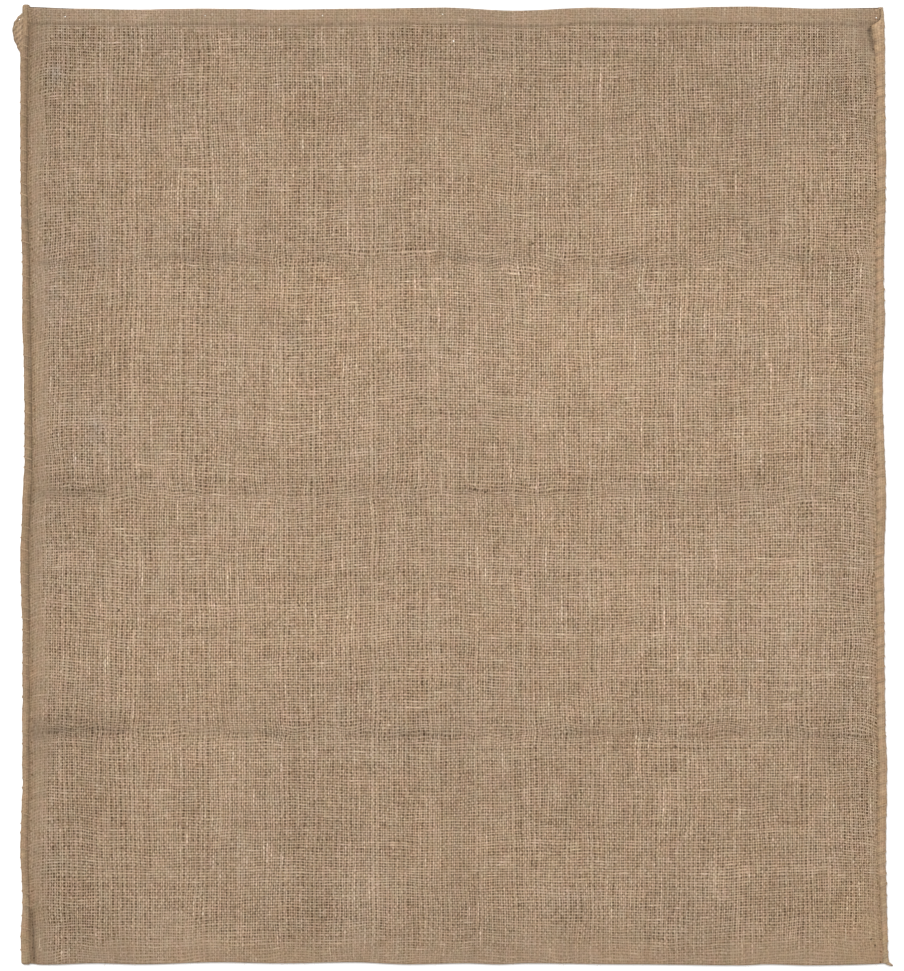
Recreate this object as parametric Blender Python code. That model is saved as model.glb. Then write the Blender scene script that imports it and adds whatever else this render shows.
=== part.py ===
"""A jute sack lying empty on a flat surface.

One length of hessian is folded across the bottom, its side edges are rolled together and sewn over,
and a hem is turned to the outside round the mouth. The sack lies on its back: +X runs across it,
+Y runs up it from the bottom fold to the mouth, and +Z is up. The origin is on the surface, under
the middle of the outline. Metres.
"""

import math
from collections import namedtuple

import bmesh
import bpy

# The sack as sewn
SACK_WIDTH = 0.770        # between the straight stretches of the two side seams
SACK_HEIGHT = 0.852       # from the bottom fold to the mouth
CLOTH = 0.0015            # one layer of hessian, with its crimp
GAP = 0.0068              # the space between front and back where the sack is fullest
SIDE_REACH = 0.070        # how far in from a side seam the front takes to rise
BOTTOM_REACH = 0.055      # and how far up from the bottom fold

# Mouth hem
HEM_DEPTH = 0.0140
HEM_TURN = 0.0010         # how far the turned cloth stands proud of the layer under it
HEM_STEP = 0.0012         # length of the step down from the hem's edge
HEM_DRAPE = 0.022         # how far below the hem the back takes to reach the surface again
HEM_INSET = 0.0013        # how far the front's mouth lies below the back's

# Side seams and bottom fold
ROLL_HEIGHT = 0.0050      # height of a rolled seam
PINCH_LIFT = 0.0005       # how far that nip lifts the underside off the surface
PINCH_REACH = 0.006       # width of the underside that it lifts
ROLL_POINTS = 7           # points round a roll, between its two edges
FOLD_HEIGHT = 0.0040      # height of the bottom fold, away from the corners
FOLD_POINTS = 3           # points round the bottom fold, between front and back
FOLD_TAPER = 0.030        # how far from a corner the fold takes to reach that height

# Spacing of the mesh
SPACING = 0.048
SEAM_STEPS = (0.0, 0.006, 0.018, 0.038)
FOLD_STEPS = (0.0, 0.010, 0.026)
CREASE_STEP = 0.011

# Each side seam's outer edge: the height above the bottom fold, how far the edge stands out past
# its straight line there, and how wide the roll is.
Seam = namedtuple("Seam", "height out width")
LEFT_SEAM = (
    Seam(0.000, 0.0003, 0.0095),
    Seam(0.018, 0.0006, 0.0085),
    Seam(0.055, -0.0009, 0.0070),
    Seam(0.102, 0.0009, 0.0070),
    Seam(0.160, -0.0009, 0.0065),
    Seam(0.290, -0.0009, 0.0070),
    Seam(0.356, 0.0009, 0.0080),
    Seam(0.449, -0.0025, 0.0075),
    Seam(0.503, -0.0027, 0.0070),
    Seam(0.590, -0.0009, 0.0075),
    Seam(0.716, 0.0009, 0.0065),
    Seam(0.796, 0.0009, 0.0070),
    Seam(0.812, 0.0036, 0.0095),
    Seam(0.833, 0.0085, 0.0150),
    Seam(0.844, 0.0030, 0.0100),
    Seam(0.852, -0.0012, 0.0065),
)
RIGHT_SEAM = (
    Seam(0.000, 0.0026, 0.0090),
    Seam(0.012, 0.0016, 0.0080),
    Seam(0.055, 0.0009, 0.0075),
    Seam(0.102, 0.0000, 0.0080),
    Seam(0.169, 0.0009, 0.0080),
    Seam(0.236, -0.0009, 0.0075),
    Seam(0.356, -0.0018, 0.0080),
    Seam(0.409, 0.0000, 0.0085),
    Seam(0.516, -0.0030, 0.0080),
    Seam(0.580, -0.0009, 0.0080),
    Seam(0.623, -0.0018, 0.0075),
    Seam(0.690, 0.0000, 0.0080),
    Seam(0.800, -0.0009, 0.0080),
    Seam(0.833, -0.0010, 0.0120),
    Seam(0.852, -0.0026, 0.0100),
)

# The mouth and the bottom fold: the distance from the left side line, and how far the edge stands
# out past its straight line there.
Edge = namedtuple("Edge", "across out")
MOUTH = (
    Edge(0.000, 0.0018),
    Edge(0.050, 0.0000),
    Edge(0.100, -0.0009),
    Edge(0.160, 0.0000),
    Edge(0.225, -0.0009),
    Edge(0.310, 0.0000),
    Edge(0.375, 0.0009),
    Edge(0.440, -0.0018),
    Edge(0.510, 0.0009),
    Edge(0.560, 0.0000),
    Edge(0.640, 0.0018),
    Edge(0.710, 0.0000),
    Edge(0.770, 0.0009),
)
BOTTOM = (
    Edge(0.000, -0.0004),
    Edge(0.015, 0.0006),
    Edge(0.065, -0.0009),
    Edge(0.105, 0.0000),
    Edge(0.175, -0.0018),
    Edge(0.230, -0.0009),
    Edge(0.295, -0.0018),
    Edge(0.345, 0.0000),
    Edge(0.395, -0.0009),
    Edge(0.425, 0.0000),
    Edge(0.450, -0.0009),
    Edge(0.540, 0.0000),
    Edge(0.640, 0.0009),
    Edge(0.665, 0.0000),
    Edge(0.700, 0.0009),
    Edge(0.770, 0.0000),
)

# The ends of the rolled seams, past the mouth and the bottom fold: how far each stands out along
# the seam, and how far sideways from the roll's middle.
Ear = namedtuple("Ear", "side end along outward")
EARS = (
    Ear("left", "bottom", 0.0016, 0.0000),
    Ear("right", "bottom", 0.0024, 0.0062),
    Ear("left", "mouth", 0.0016, 0.0000),
    Ear("right", "mouth", 0.0008, 0.0026),
)

# Creases left by folding the sack in four and then in two: where each one runs, how deep a trough
# (or, below zero, how high a ridge) it leaves in the front, how much it lifts the back, and how far
# it wanders to either side.
Crease = namedtuple("Crease", "at depth lift wander")
CROSS_CREASES = (
    Crease(0.205, 0.0008, 0.0004, 0.0018),
    Crease(0.419, 0.0005, 0.0003, 0.0014),
    Crease(0.628, 0.0009, 0.0004, 0.0022),
)
LONG_CREASES = (Crease(0.388, 0.0003, 0.0002, 0.0),)
CREASE_WIDTH = 0.009      # half the width of a crease's trough
WANDER_REACH = 0.045      # how far above and below a crease its wander is felt
WANDER_LENGTH = 0.46      # length of one swing of the wander

# Slow waves in the front: the length of one swing across and up the sack, where the swing starts
# in turns, and how high it is.
Wave = namedtuple("Wave", "across up turn height")
WAVES = (
    Wave(0.62, 0.95, 0.10, 0.00022),
    Wave(0.31, -0.47, 0.45, 0.00015),
    Wave(-0.23, 0.29, 0.80, 0.00010),
)

HESSIAN_COLOUR = (0.392, 0.279, 0.188, 1.0)
HESSIAN_ROUGHNESS = 0.92


def eased(rows, field, at):
    """The named column of a table at a place given by its first column, eased between its rows."""
    column = rows[0]._fields.index(field)
    if at <= rows[0][0]:
        return rows[0][column]
    for low, high in zip(rows, rows[1:]):
        if at <= high[0]:
            part = (at - low[0]) / (high[0] - low[0])
            part = part * part * (3 - 2 * part)
            return low[column] + (high[column] - low[column]) * part
    return rows[-1][column]


def rise(distance, reach):
    """0 at a seam or fold and 1 past its reach, steep at first as pinched cloth is."""
    part = min(max(distance / reach, 0.0), 1.0)
    return 1 - (1 - part) ** 2


def bell(distance, width):
    """1 at the middle of a crease and 0 past its width."""
    part = min(abs(distance) / width, 1.0)
    return (1 - part * part) ** 2


def stations(fixed, spacing):
    """The fixed places in order, with even steps no longer than the spacing between them."""
    places = [fixed[0]]
    for low, high in zip(fixed, fixed[1:]):
        steps = max(1, math.ceil((high - low) / spacing - 1e-6))
        places += [low + (high - low) * step / steps for step in range(1, steps + 1)]
    return places


def row_heights():
    """The heights above the bottom fold at which the sack's section is taken."""
    crease_rows = [
        crease.at + side * CREASE_STEP for crease in CROSS_CREASES for side in (-1, 0, 1)
    ]
    ear_rows = [seam.height for seam in LEFT_SEAM if 0.79 < seam.height < 0.84]
    hem_edge = SACK_HEIGHT - HEM_DEPTH
    hem_rows = [hem_edge - HEM_DRAPE, hem_edge - HEM_STEP, hem_edge, SACK_HEIGHT]
    fixed = sorted(list(FOLD_STEPS) + crease_rows + ear_rows + hem_rows)
    kept = [fixed[0]]
    for height in fixed[1:]:
        if height - kept[-1] > 0.5 * HEM_STEP:
            kept.append(height)
    return stations(kept, SPACING)


def column_parts():
    """Where the columns stand between the two side seams, from 0 at the left to 1 at the right."""
    span = SACK_WIDTH - LEFT_SEAM[0].width - RIGHT_SEAM[0].width
    fixed = list(SEAM_STEPS)
    for crease in LONG_CREASES:
        fixed += [crease.at - CREASE_STEP, crease.at, crease.at + CREASE_STEP]
    fixed += [span - step for step in reversed(SEAM_STEPS)]
    return [place / span for place in stations(fixed, SPACING)]


def wandered(across, height):
    """The height moved by the wander of the creases near it."""
    for number, crease in enumerate(CROSS_CREASES):
        swing = math.sin(math.tau * (across / WANDER_LENGTH + 0.3 * number))
        height += crease.wander * swing * bell(height - crease.at, WANDER_REACH)
    return height


class Place:
    """One place on the sack's plan: x and y, and how near the seams, fold and hem are."""

    def __init__(self, height, part):
        left_out = eased(LEFT_SEAM, "out", height)
        right_out = eased(RIGHT_SEAM, "out", height)
        self.left = -left_out
        self.right = SACK_WIDTH + right_out
        self.left_nip = self.left + eased(LEFT_SEAM, "width", height)
        self.right_nip = self.right - eased(RIGHT_SEAM, "width", height)
        self.x = self.left_nip + (self.right_nip - self.left_nip) * part
        self.height = height
        self.from_side = min(self.x - self.left_nip, self.right_nip - self.x)
        low = -eased(BOTTOM, "out", self.x)
        high = SACK_HEIGHT + eased(MOUTH, "out", self.x)
        self.y = low + (high - low) * wandered(self.x, height) / SACK_HEIGHT

    def hem(self):
        """1 on the hem and 0 below it, fading into the side seams."""
        on_band = 1.0 if self.height > SACK_HEIGHT - HEM_DEPTH - 0.5 * HEM_STEP else 0.0
        return on_band * rise(self.from_side, 0.5 * SIDE_REACH)

    def drape(self):
        """1 at the hem's edge, falling to 0 below it, and 1 on the hem."""
        below = SACK_HEIGHT - HEM_DEPTH - self.height
        return max(0.0, 1 - max(below, 0.0) / HEM_DRAPE) * rise(self.from_side, 0.5 * SIDE_REACH)

    def crease(self, field):
        """How far the creases at this place move the cloth, from the named column."""
        total = 0.0
        for creases, at in ((CROSS_CREASES, self.height), (LONG_CREASES, self.x)):
            for crease in creases:
                total += getattr(crease, field) * bell(at - crease.at, CREASE_WIDTH)
        return total * rise(self.from_side, SIDE_REACH)

    def fullness(self):
        return rise(self.from_side, SIDE_REACH) * rise(self.height, BOTTOM_REACH)

    def gap(self):
        """The space between the front and the back layer."""
        swell = sum(
            wave.height * math.sin(
                math.tau * (self.x / wave.across + self.height / wave.up + wave.turn)
            )
            for wave in WAVES
        )
        return max((GAP + swell - self.crease("depth")) * self.fullness(), 0.0)

    def back_outer(self):
        """The underside: on the surface, but for the hem's drape, the creases and the seams' nip."""
        nip = PINCH_LIFT * (1 - rise(self.from_side, PINCH_REACH))
        hem_lift = HEM_TURN * max(self.drape() - self.hem(), 0.0)
        return nip + hem_lift + self.crease("lift") * rise(self.height, BOTTOM_REACH)

    def back_inner(self):
        drape = HEM_TURN * self.drape()
        crease = self.crease("lift") * rise(self.height, BOTTOM_REACH)
        return 0.5 * self.nip_height() + drape + crease

    def nip_height(self):
        """The height of the two layers and the fold where nothing lies between them."""
        fold = 1 - rise(self.height, BOTTOM_REACH)
        layers = 2 * CLOTH
        return layers + (FOLD_HEIGHT - layers) * fold * rise(self.from_side, FOLD_TAPER)

    def front_inner(self):
        return self.back_inner() + self.gap()

    def front_outer(self):
        return self.front_inner() + 0.5 * self.nip_height() + HEM_TURN * self.hem()


def add_grid(shell, rows):
    """Quads between rows of points, each row as long as the others."""
    corners = [[shell.verts.new(point) for point in row] for row in rows]
    for low, high in zip(corners, corners[1:]):
        for column in range(len(low) - 1):
            shell.faces.new((low[column], low[column + 1], high[column + 1], high[column]))


def front_inset(height):
    """How far the front lies below the back: nothing at the bottom, the whole inset at the mouth."""
    return HEM_INSET * rise(height - 0.6 * SACK_HEIGHT, 0.4 * SACK_HEIGHT)


def front_point(height, part):
    place = Place(height, part)
    return place.x, place.y - front_inset(height), place.front_outer()


def back_point(height, part):
    place = Place(height, part)
    return place.x, place.y, place.back_outer()


def front_lining_point(height, part):
    """The inside of the front. At a side seam it meets the inside of the back."""
    place = Place(height, part)
    share = 0.5 if part in (0.0, 1.0) else 1.0
    return place.x, place.y - share * front_inset(height), place.front_inner()


def back_lining_point(height, part):
    place = Place(height, part)
    share = 0.5 if part in (0.0, 1.0) else 0.0
    return place.x, place.y - share * front_inset(height), place.back_inner()


def fold_row(part_of_turn, parts):
    """One row of points round the bottom fold, from the front's edge to the back's."""
    row = []
    for part in parts:
        x, y, top = front_point(0.0, part)
        low = back_point(0.0, part)[2]
        radius = 0.5 * (top - low)
        angle = math.pi * part_of_turn
        row.append((x, y - radius * math.sin(angle), low + radius * (1 + math.cos(angle))))
    return row


def roll_row(side, height):
    """The points round a rolled seam, from the front's edge over the roll to the back's."""
    part = 0.0 if side == "left" else 1.0
    place = Place(height, part)
    nip, edge = (place.left_nip, place.left) if side == "left" else (place.right_nip, place.right)
    middle, half = 0.5 * (nip + edge), 0.5 * (nip - edge)
    radius = 0.5 * ROLL_HEIGHT
    row = [front_point(height, part)]
    for step in range(1, ROLL_POINTS + 1):
        angle = math.tau * step / (ROLL_POINTS + 1)
        row.append((middle + half * math.cos(angle), place.y, radius * (1 + math.sin(angle))))
    row.append(back_point(height, part))
    return row


def add_roll_end(shell, ear):
    """Closes one end of a rolled seam with a point that stands out as a small ear."""
    at_bottom = ear.end == "bottom"
    height = 0.0 if at_bottom else SACK_HEIGHT
    part = 0.0 if ear.side == "left" else 1.0
    rim = roll_row(ear.side, height)
    middle = 0.5 * (min(point[0] for point in rim) + max(point[0] for point in rim))
    if at_bottom:
        turns = [step / (FOLD_POINTS + 1) for step in range(FOLD_POINTS, 0, -1)]
        rim += [fold_row(turn, (part,))[0] for turn in turns]
        tip_y = min(point[1] for point in rim) - ear.along
    else:
        rim.append(back_lining_point(height, part))
        tip_y = max(point[1] for point in rim) + ear.along
    tip_x = middle + math.copysign(ear.outward, part - 0.5)
    tip = shell.verts.new((tip_x, tip_y, 0.5 * ROLL_HEIGHT))
    corners = [shell.verts.new(point) for point in rim]
    for here, after in zip(corners, corners[1:] + corners[:1]):
        shell.faces.new((here, after, tip))


def sack_mesh():
    """The outer skin, the inner skin and the strips that join them round the mouth."""
    heights, parts = row_heights(), column_parts()
    shell = bmesh.new()
    add_grid(shell, [[front_point(height, part) for part in parts] for height in heights])
    add_grid(shell, [[back_point(height, part) for part in parts] for height in heights])
    turns = [step / (FOLD_POINTS + 1) for step in range(FOLD_POINTS + 2)]
    add_grid(shell, [fold_row(turn, parts) for turn in turns])
    for side in ("left", "right"):
        add_grid(shell, [roll_row(side, height) for height in heights])
    for ear in EARS:
        add_roll_end(shell, ear)
    for lining, outside in ((front_lining_point, front_point), (back_lining_point, back_point)):
        add_grid(shell, [[lining(height, part) for part in parts] for height in heights])
        rim = [[skin(SACK_HEIGHT, part) for part in parts] for skin in (lining, outside)]
        add_grid(shell, rim)
    bmesh.ops.remove_doubles(shell, verts=shell.verts, dist=1e-6)
    bmesh.ops.recalc_face_normals(shell, faces=shell.faces)
    return shell


def centred(mesh):
    """Moves the mesh so that the middle of its outline is over the origin and it stands on z = 0."""
    low = [min(vertex.co[axis] for vertex in mesh.vertices) for axis in range(3)]
    high = [max(vertex.co[axis] for vertex in mesh.vertices) for axis in range(3)]
    for vertex in mesh.vertices:
        vertex.co.x -= 0.5 * (low[0] + high[0])
        vertex.co.y -= 0.5 * (low[1] + high[1])
        vertex.co.z -= low[2]


def hessian_material():
    material = bpy.data.materials.new("hessian")
    material.use_nodes = True
    shader = material.node_tree.nodes["Principled BSDF"]
    shader.inputs["Base Color"].default_value = HESSIAN_COLOUR
    shader.inputs["Roughness"].default_value = HESSIAN_ROUGHNESS
    shader.inputs["Metallic"].default_value = 0.0
    material.diffuse_color = HESSIAN_COLOUR
    return material


def build():
    for scene_object in list(bpy.data.objects):
        bpy.data.objects.remove(scene_object, do_unlink=True)
    collection = bpy.data.collections.new("jute_sack")
    bpy.context.scene.collection.children.link(collection)
    mesh = bpy.data.meshes.new("sack_cloth")
    shell = sack_mesh()
    shell.to_mesh(mesh)
    shell.free()
    centred(mesh)
    mesh.materials.append(hessian_material())
    mesh.shade_smooth()
    mesh.set_sharp_from_angle(angle=math.radians(50))
    collection.objects.link(bpy.data.objects.new("sack_cloth", mesh))


build()
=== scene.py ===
"""The looks of a jute sack that lies empty on a flat surface, seen from straight above.

The front and the back are sheets of hessian a little over a millimetre thick, laid on the folds of the
CAD solid. Their side edges are rolled together and oversewn with jute twine, and the mouth has a hem
turned to the outside. Across the sack is +X, up it from the bottom fold to the mouth is +Y. Metres.
"""

import math
from collections import namedtuple
from functools import lru_cache, partialmethod

import bmesh
import bpy
import numpy as np
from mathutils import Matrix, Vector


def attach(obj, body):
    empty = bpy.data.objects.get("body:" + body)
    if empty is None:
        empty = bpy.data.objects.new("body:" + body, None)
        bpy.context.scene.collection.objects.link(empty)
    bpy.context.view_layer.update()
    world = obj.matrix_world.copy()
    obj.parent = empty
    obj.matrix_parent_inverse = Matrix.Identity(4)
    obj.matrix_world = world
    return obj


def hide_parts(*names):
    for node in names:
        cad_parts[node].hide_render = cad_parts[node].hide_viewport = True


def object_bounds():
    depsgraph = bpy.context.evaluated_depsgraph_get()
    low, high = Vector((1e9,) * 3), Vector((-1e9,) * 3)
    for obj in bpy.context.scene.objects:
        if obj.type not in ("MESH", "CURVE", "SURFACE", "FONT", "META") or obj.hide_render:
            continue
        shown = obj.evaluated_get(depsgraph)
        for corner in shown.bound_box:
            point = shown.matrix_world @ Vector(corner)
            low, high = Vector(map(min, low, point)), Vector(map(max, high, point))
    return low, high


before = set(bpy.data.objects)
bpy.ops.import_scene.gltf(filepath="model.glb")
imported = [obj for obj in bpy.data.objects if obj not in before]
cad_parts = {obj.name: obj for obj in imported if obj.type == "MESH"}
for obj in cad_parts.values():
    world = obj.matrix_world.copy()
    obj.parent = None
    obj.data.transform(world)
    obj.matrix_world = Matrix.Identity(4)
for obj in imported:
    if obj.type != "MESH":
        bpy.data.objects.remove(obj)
cad_low, cad_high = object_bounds()

# The sack as sewn, as in the CAD model
SACK_WIDTH = 0.770          # between the straight stretches of the two side seams
SACK_HEIGHT = 0.852         # from the bottom fold to the mouth
CLOTH = 0.0015
GAP = 0.0068                # the space between front and back where the sack is fullest
SIDE_REACH = 0.070
BOTTOM_REACH = 0.055
HEM_DEPTH = 0.0140
HEM_EDGE = SACK_HEIGHT - HEM_DEPTH
HEM_DRAPE = 0.022
HEM_INSET = 0.0013          # how far the front's mouth lies below the back's
ROLL_HEIGHT = 0.0050
PINCH_LIFT = 0.0005
PINCH_REACH = 0.006
FOLD_HEIGHT = 0.0040
FOLD_TAPER = 0.030
FOLD_ROUND = 0.0018         # how much of the bottom line is the roundness of the fold itself
CORNER_EAR = 0.0085         # how far the left mouth corner stands out past the left side line
BOTTOM_EAR = 0.00367        # how far the right bottom corner stands out below the bottom line

# The side line and the bottom line in the frame
LEFT_LINE = cad_low.x + CORNER_EAR
BOTTOM_LINE = cad_low.y + BOTTOM_EAR

# The cloth as it is drawn here
SKIN = 0.0011               # thickness of one layer
HEM_RISE = 0.0013           # how far the turned hem stands proud
TUCK = 0.0026               # how far the panels reach in under the rolled seams
BOTH_ROLLS = 0.015          # the width of the two rolled seams together, about
END_PITCH = 0.00212         # from one warp end to the next, on average over a pair
PICK_PITCH = 0.00253        # from one weft pick to the next
SEAM_STITCH = 0.0102        # from one oversewing stitch to the next
RIGHT_PHASE = 0.35          # how far the right seam's stitches are ahead of the left's, in stitches
PUCKER_REACH = 0.010
PUCKER_HEIGHT = 0.00035
HEM_STITCH = 0.0097         # from one running stitch in the hem to the next
HEM_LINE = 0.0075           # how far below the mouth the hem is sewn
DIMPLE_DEPTH = 0.00025      # how far a running stitch draws the hem in
DIMPLE_REACH = 0.004
NEEDLE_LINE = 0.0012        # how far in from a roll the line of needle holes runs

# Spacing of the grids
ROW_STEP = 0.0025
COLUMN_STEP = 0.0044
EDGE_STEP = 0.0022
EDGE_STEPS = 7
UNDER_REACH = 0.006         # how far the front reaches round the bottom fold on to the underside
FOLD_ROWS = 6
LIP_ROWS = 4
LATTICE_SIZE = 256

# Each side seam's outer edge: the height above the bottom fold, how far the edge stands out past
# its straight line there, and how wide the roll is.
Seam = namedtuple("Seam", "height out width")
LEFT_SEAM = (
    Seam(0.0, 0.0003, 0.0095),
    Seam(0.018, 0.0006, 0.0085),
    Seam(0.055, -0.0009, 0.007),
    Seam(0.102, 0.0009, 0.007),
    Seam(0.16, -0.0009, 0.0065),
    Seam(0.29, -0.0009, 0.007),
    Seam(0.356, 0.0009, 0.008),
    Seam(0.449, -0.0025, 0.0075),
    Seam(0.503, -0.0027, 0.007),
    Seam(0.59, -0.0009, 0.0075),
    Seam(0.716, 0.0009, 0.0065),
    Seam(0.796, 0.0009, 0.007),
    Seam(0.812, 0.0006, 0.007),
    Seam(0.833, -0.0006, 0.007),
    Seam(0.852, -0.0012, 0.0065),
)
RIGHT_SEAM = (
    Seam(0.0, 0.0026, 0.0062),
    Seam(0.012, 0.0016, 0.005),
    Seam(0.055, 0.0009, 0.0062),
    Seam(0.102, 0.0, 0.008),
    Seam(0.169, 0.0009, 0.008),
    Seam(0.236, -0.0009, 0.0075),
    Seam(0.356, -0.0018, 0.008),
    Seam(0.409, 0.0, 0.0085),
    Seam(0.516, -0.003, 0.008),
    Seam(0.58, -0.0009, 0.008),
    Seam(0.623, -0.0018, 0.0075),
    Seam(0.69, 0.0, 0.008),
    Seam(0.8, -0.0009, 0.008),
    Seam(0.822, -0.001, 0.0095),
    Seam(0.834, -0.0011, 0.0125),
    Seam(0.845, -0.002, 0.0052),
    Seam(0.852, -0.0026, 0.0046),
)

# The fold of spare cloth that stands out past the left seam, just below the mouth
EAR_FOLD = (
    Seam(0.807, -0.0004, 0.003),
    Seam(0.812, 0.002, 0.0052),
    Seam(0.818, 0.0048, 0.0078),
    Seam(0.825, 0.0078, 0.0105),
    Seam(0.833, 0.009, 0.0115),
    Seam(0.839, 0.0078, 0.01),
    Seam(0.844, 0.0046, 0.0068),
    Seam(0.848, 0.0006, 0.003),
)

# The mouth and the bottom fold: the distance from the left side line, and how far the edge stands
# out past its straight line there.
Edge = namedtuple("Edge", "across out")
MOUTH = (
    Edge(0.0, 0.0018),
    Edge(0.05, 0.0),
    Edge(0.1, -0.0009),
    Edge(0.16, 0.0),
    Edge(0.225, -0.0009),
    Edge(0.31, 0.0),
    Edge(0.375, 0.0009),
    Edge(0.44, -0.0018),
    Edge(0.51, 0.0009),
    Edge(0.56, 0.0),
    Edge(0.64, 0.0018),
    Edge(0.71, 0.0),
    Edge(0.77, 0.0009),
)
BOTTOM = (
    Edge(0.0, -0.0004),
    Edge(0.015, 0.0006),
    Edge(0.065, -0.0009),
    Edge(0.105, 0.0),
    Edge(0.175, -0.0018),
    Edge(0.23, -0.0009),
    Edge(0.295, -0.0018),
    Edge(0.345, 0.0),
    Edge(0.395, -0.0009),
    Edge(0.425, 0.0),
    Edge(0.45, -0.0009),
    Edge(0.54, 0.0),
    Edge(0.64, 0.0009),
    Edge(0.665, 0.0),
    Edge(0.7, 0.0009),
    Edge(0.77, 0.0),
)

# The ends of the rolled seams: how far each stands out along the seam, and how far sideways.
Ear = namedtuple("Ear", "side end along outward")
EARS = (
    Ear("left", "bottom", 0.0026, 0.0004),
    Ear("left", "mouth", 0.0022, 0.0000),
    Ear("right", "bottom", 0.0036, 0.0058),
    Ear("right", "mouth", 0.0004, 0.0014),
)

# Creases left by folding the sack: where each one runs, how deep a trough it leaves in the front,
# how much it lifts the back, how far it wanders to either side, how much painted shade darkens it,
# and how much darker still the painted shade of the thin line down its middle is.
Crease = namedtuple("Crease", "at depth lift wander dark line")
CROSS_CREASES = (
    Crease(0.205, 0.0014, 0.0004, 0.0018, 0.070, 0.13),
    Crease(0.419, 0.0011, 0.0003, 0.0014, 0.060, 0.11),
    Crease(0.628, 0.0014, 0.0004, 0.0022, 0.070, 0.12),
)
LONG_CREASES = (Crease(0.388, 0.0005, 0.0002, 0.0, 0.006, 0.0),)
CREASE_WIDTH = 0.009
DARK_WIDTH = 0.019          # how far the painted shade reaches to either side of a crease
CREASE_HALO = 0.012         # how far from a cross crease its yarns lie crooked and close
CREASE_CRUMPLE = 0.016      # how far from a cross crease the front is crumpled
CREASE_SHOULDER = 0.045     # how far from a cross crease the cloth takes to bulge again
BULGE = 0.0010
WANDER_REACH = 0.045
WANDER_LENGTH = 0.46

# Slow waves in the front: the length of one swing across and up the sack, where the swing starts
# in turns, and how high it is.
Wave = namedtuple("Wave", "across up turn height")
WAVES = (
    Wave(0.62, 0.95, 0.10, 0.00022),
    Wave(0.31, -0.47, 0.45, 0.00015),
    Wave(-0.23, 0.29, 0.80, 0.00010),
)

# Uneven shapes and colours over the cloth, and how the painted shadow under the hem changes along it:
# how strong each is, how long its swings are across and up the sack, and the seed of its noise.
Uneven = namedtuple("Uneven", "size across up seed")
SLOW_BULGES = Uneven(0.00045, 0.070, 0.085, 11)
SMALL_BULGES = Uneven(0.00022, 0.021, 0.027, 12)
CRUMPLES = Uneven(0.00034, 0.0085, 0.0160, 13)
GATHERS = Uneven(0.00050, 0.0080, 0.0300, 14)
PUCKER_SIZES = Uneven(0.6, 0.030, 0.035, 15)
CLOUDS = Uneven(0.020, 0.045, 0.060, 21)
SMALL_CLOUDS = Uneven(0.014, 0.016, 0.022, 22)
ENDS_DRIFT = Uneven(0.9, 0.085, 0.170, 31)
ENDS_SWAY = Uneven(1.0, 0.014, 0.026, 32)
ENDS_JITTER = Uneven(1.0, 0.006, 0.009, 33)
PICKS_DRIFT = Uneven(1.5, 0.120, 0.150, 34)
PICKS_SWAY = Uneven(1.0, 0.024, 0.018, 35)
PICKS_JITTER = Uneven(1.0, 0.009, 0.007, 36)
LOOSE_PARTS = Uneven(1.0, 0.038, 0.050, 41)
SMALL_LOOSE_PARTS = Uneven(0.6, 0.016, 0.020, 42)
MOUTH_EDGE = Uneven(0.00035, 0.018, 0.5, 51)
# How the painted shadow under the turned hem's edge grows stronger and weaker along it
HEM_SHADOW_UNEVEN = Uneven(0.5, 0.035, 0.5, 52)
UNDERSIDE = Uneven(0.00012, 0.012, 0.016, 71)
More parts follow.
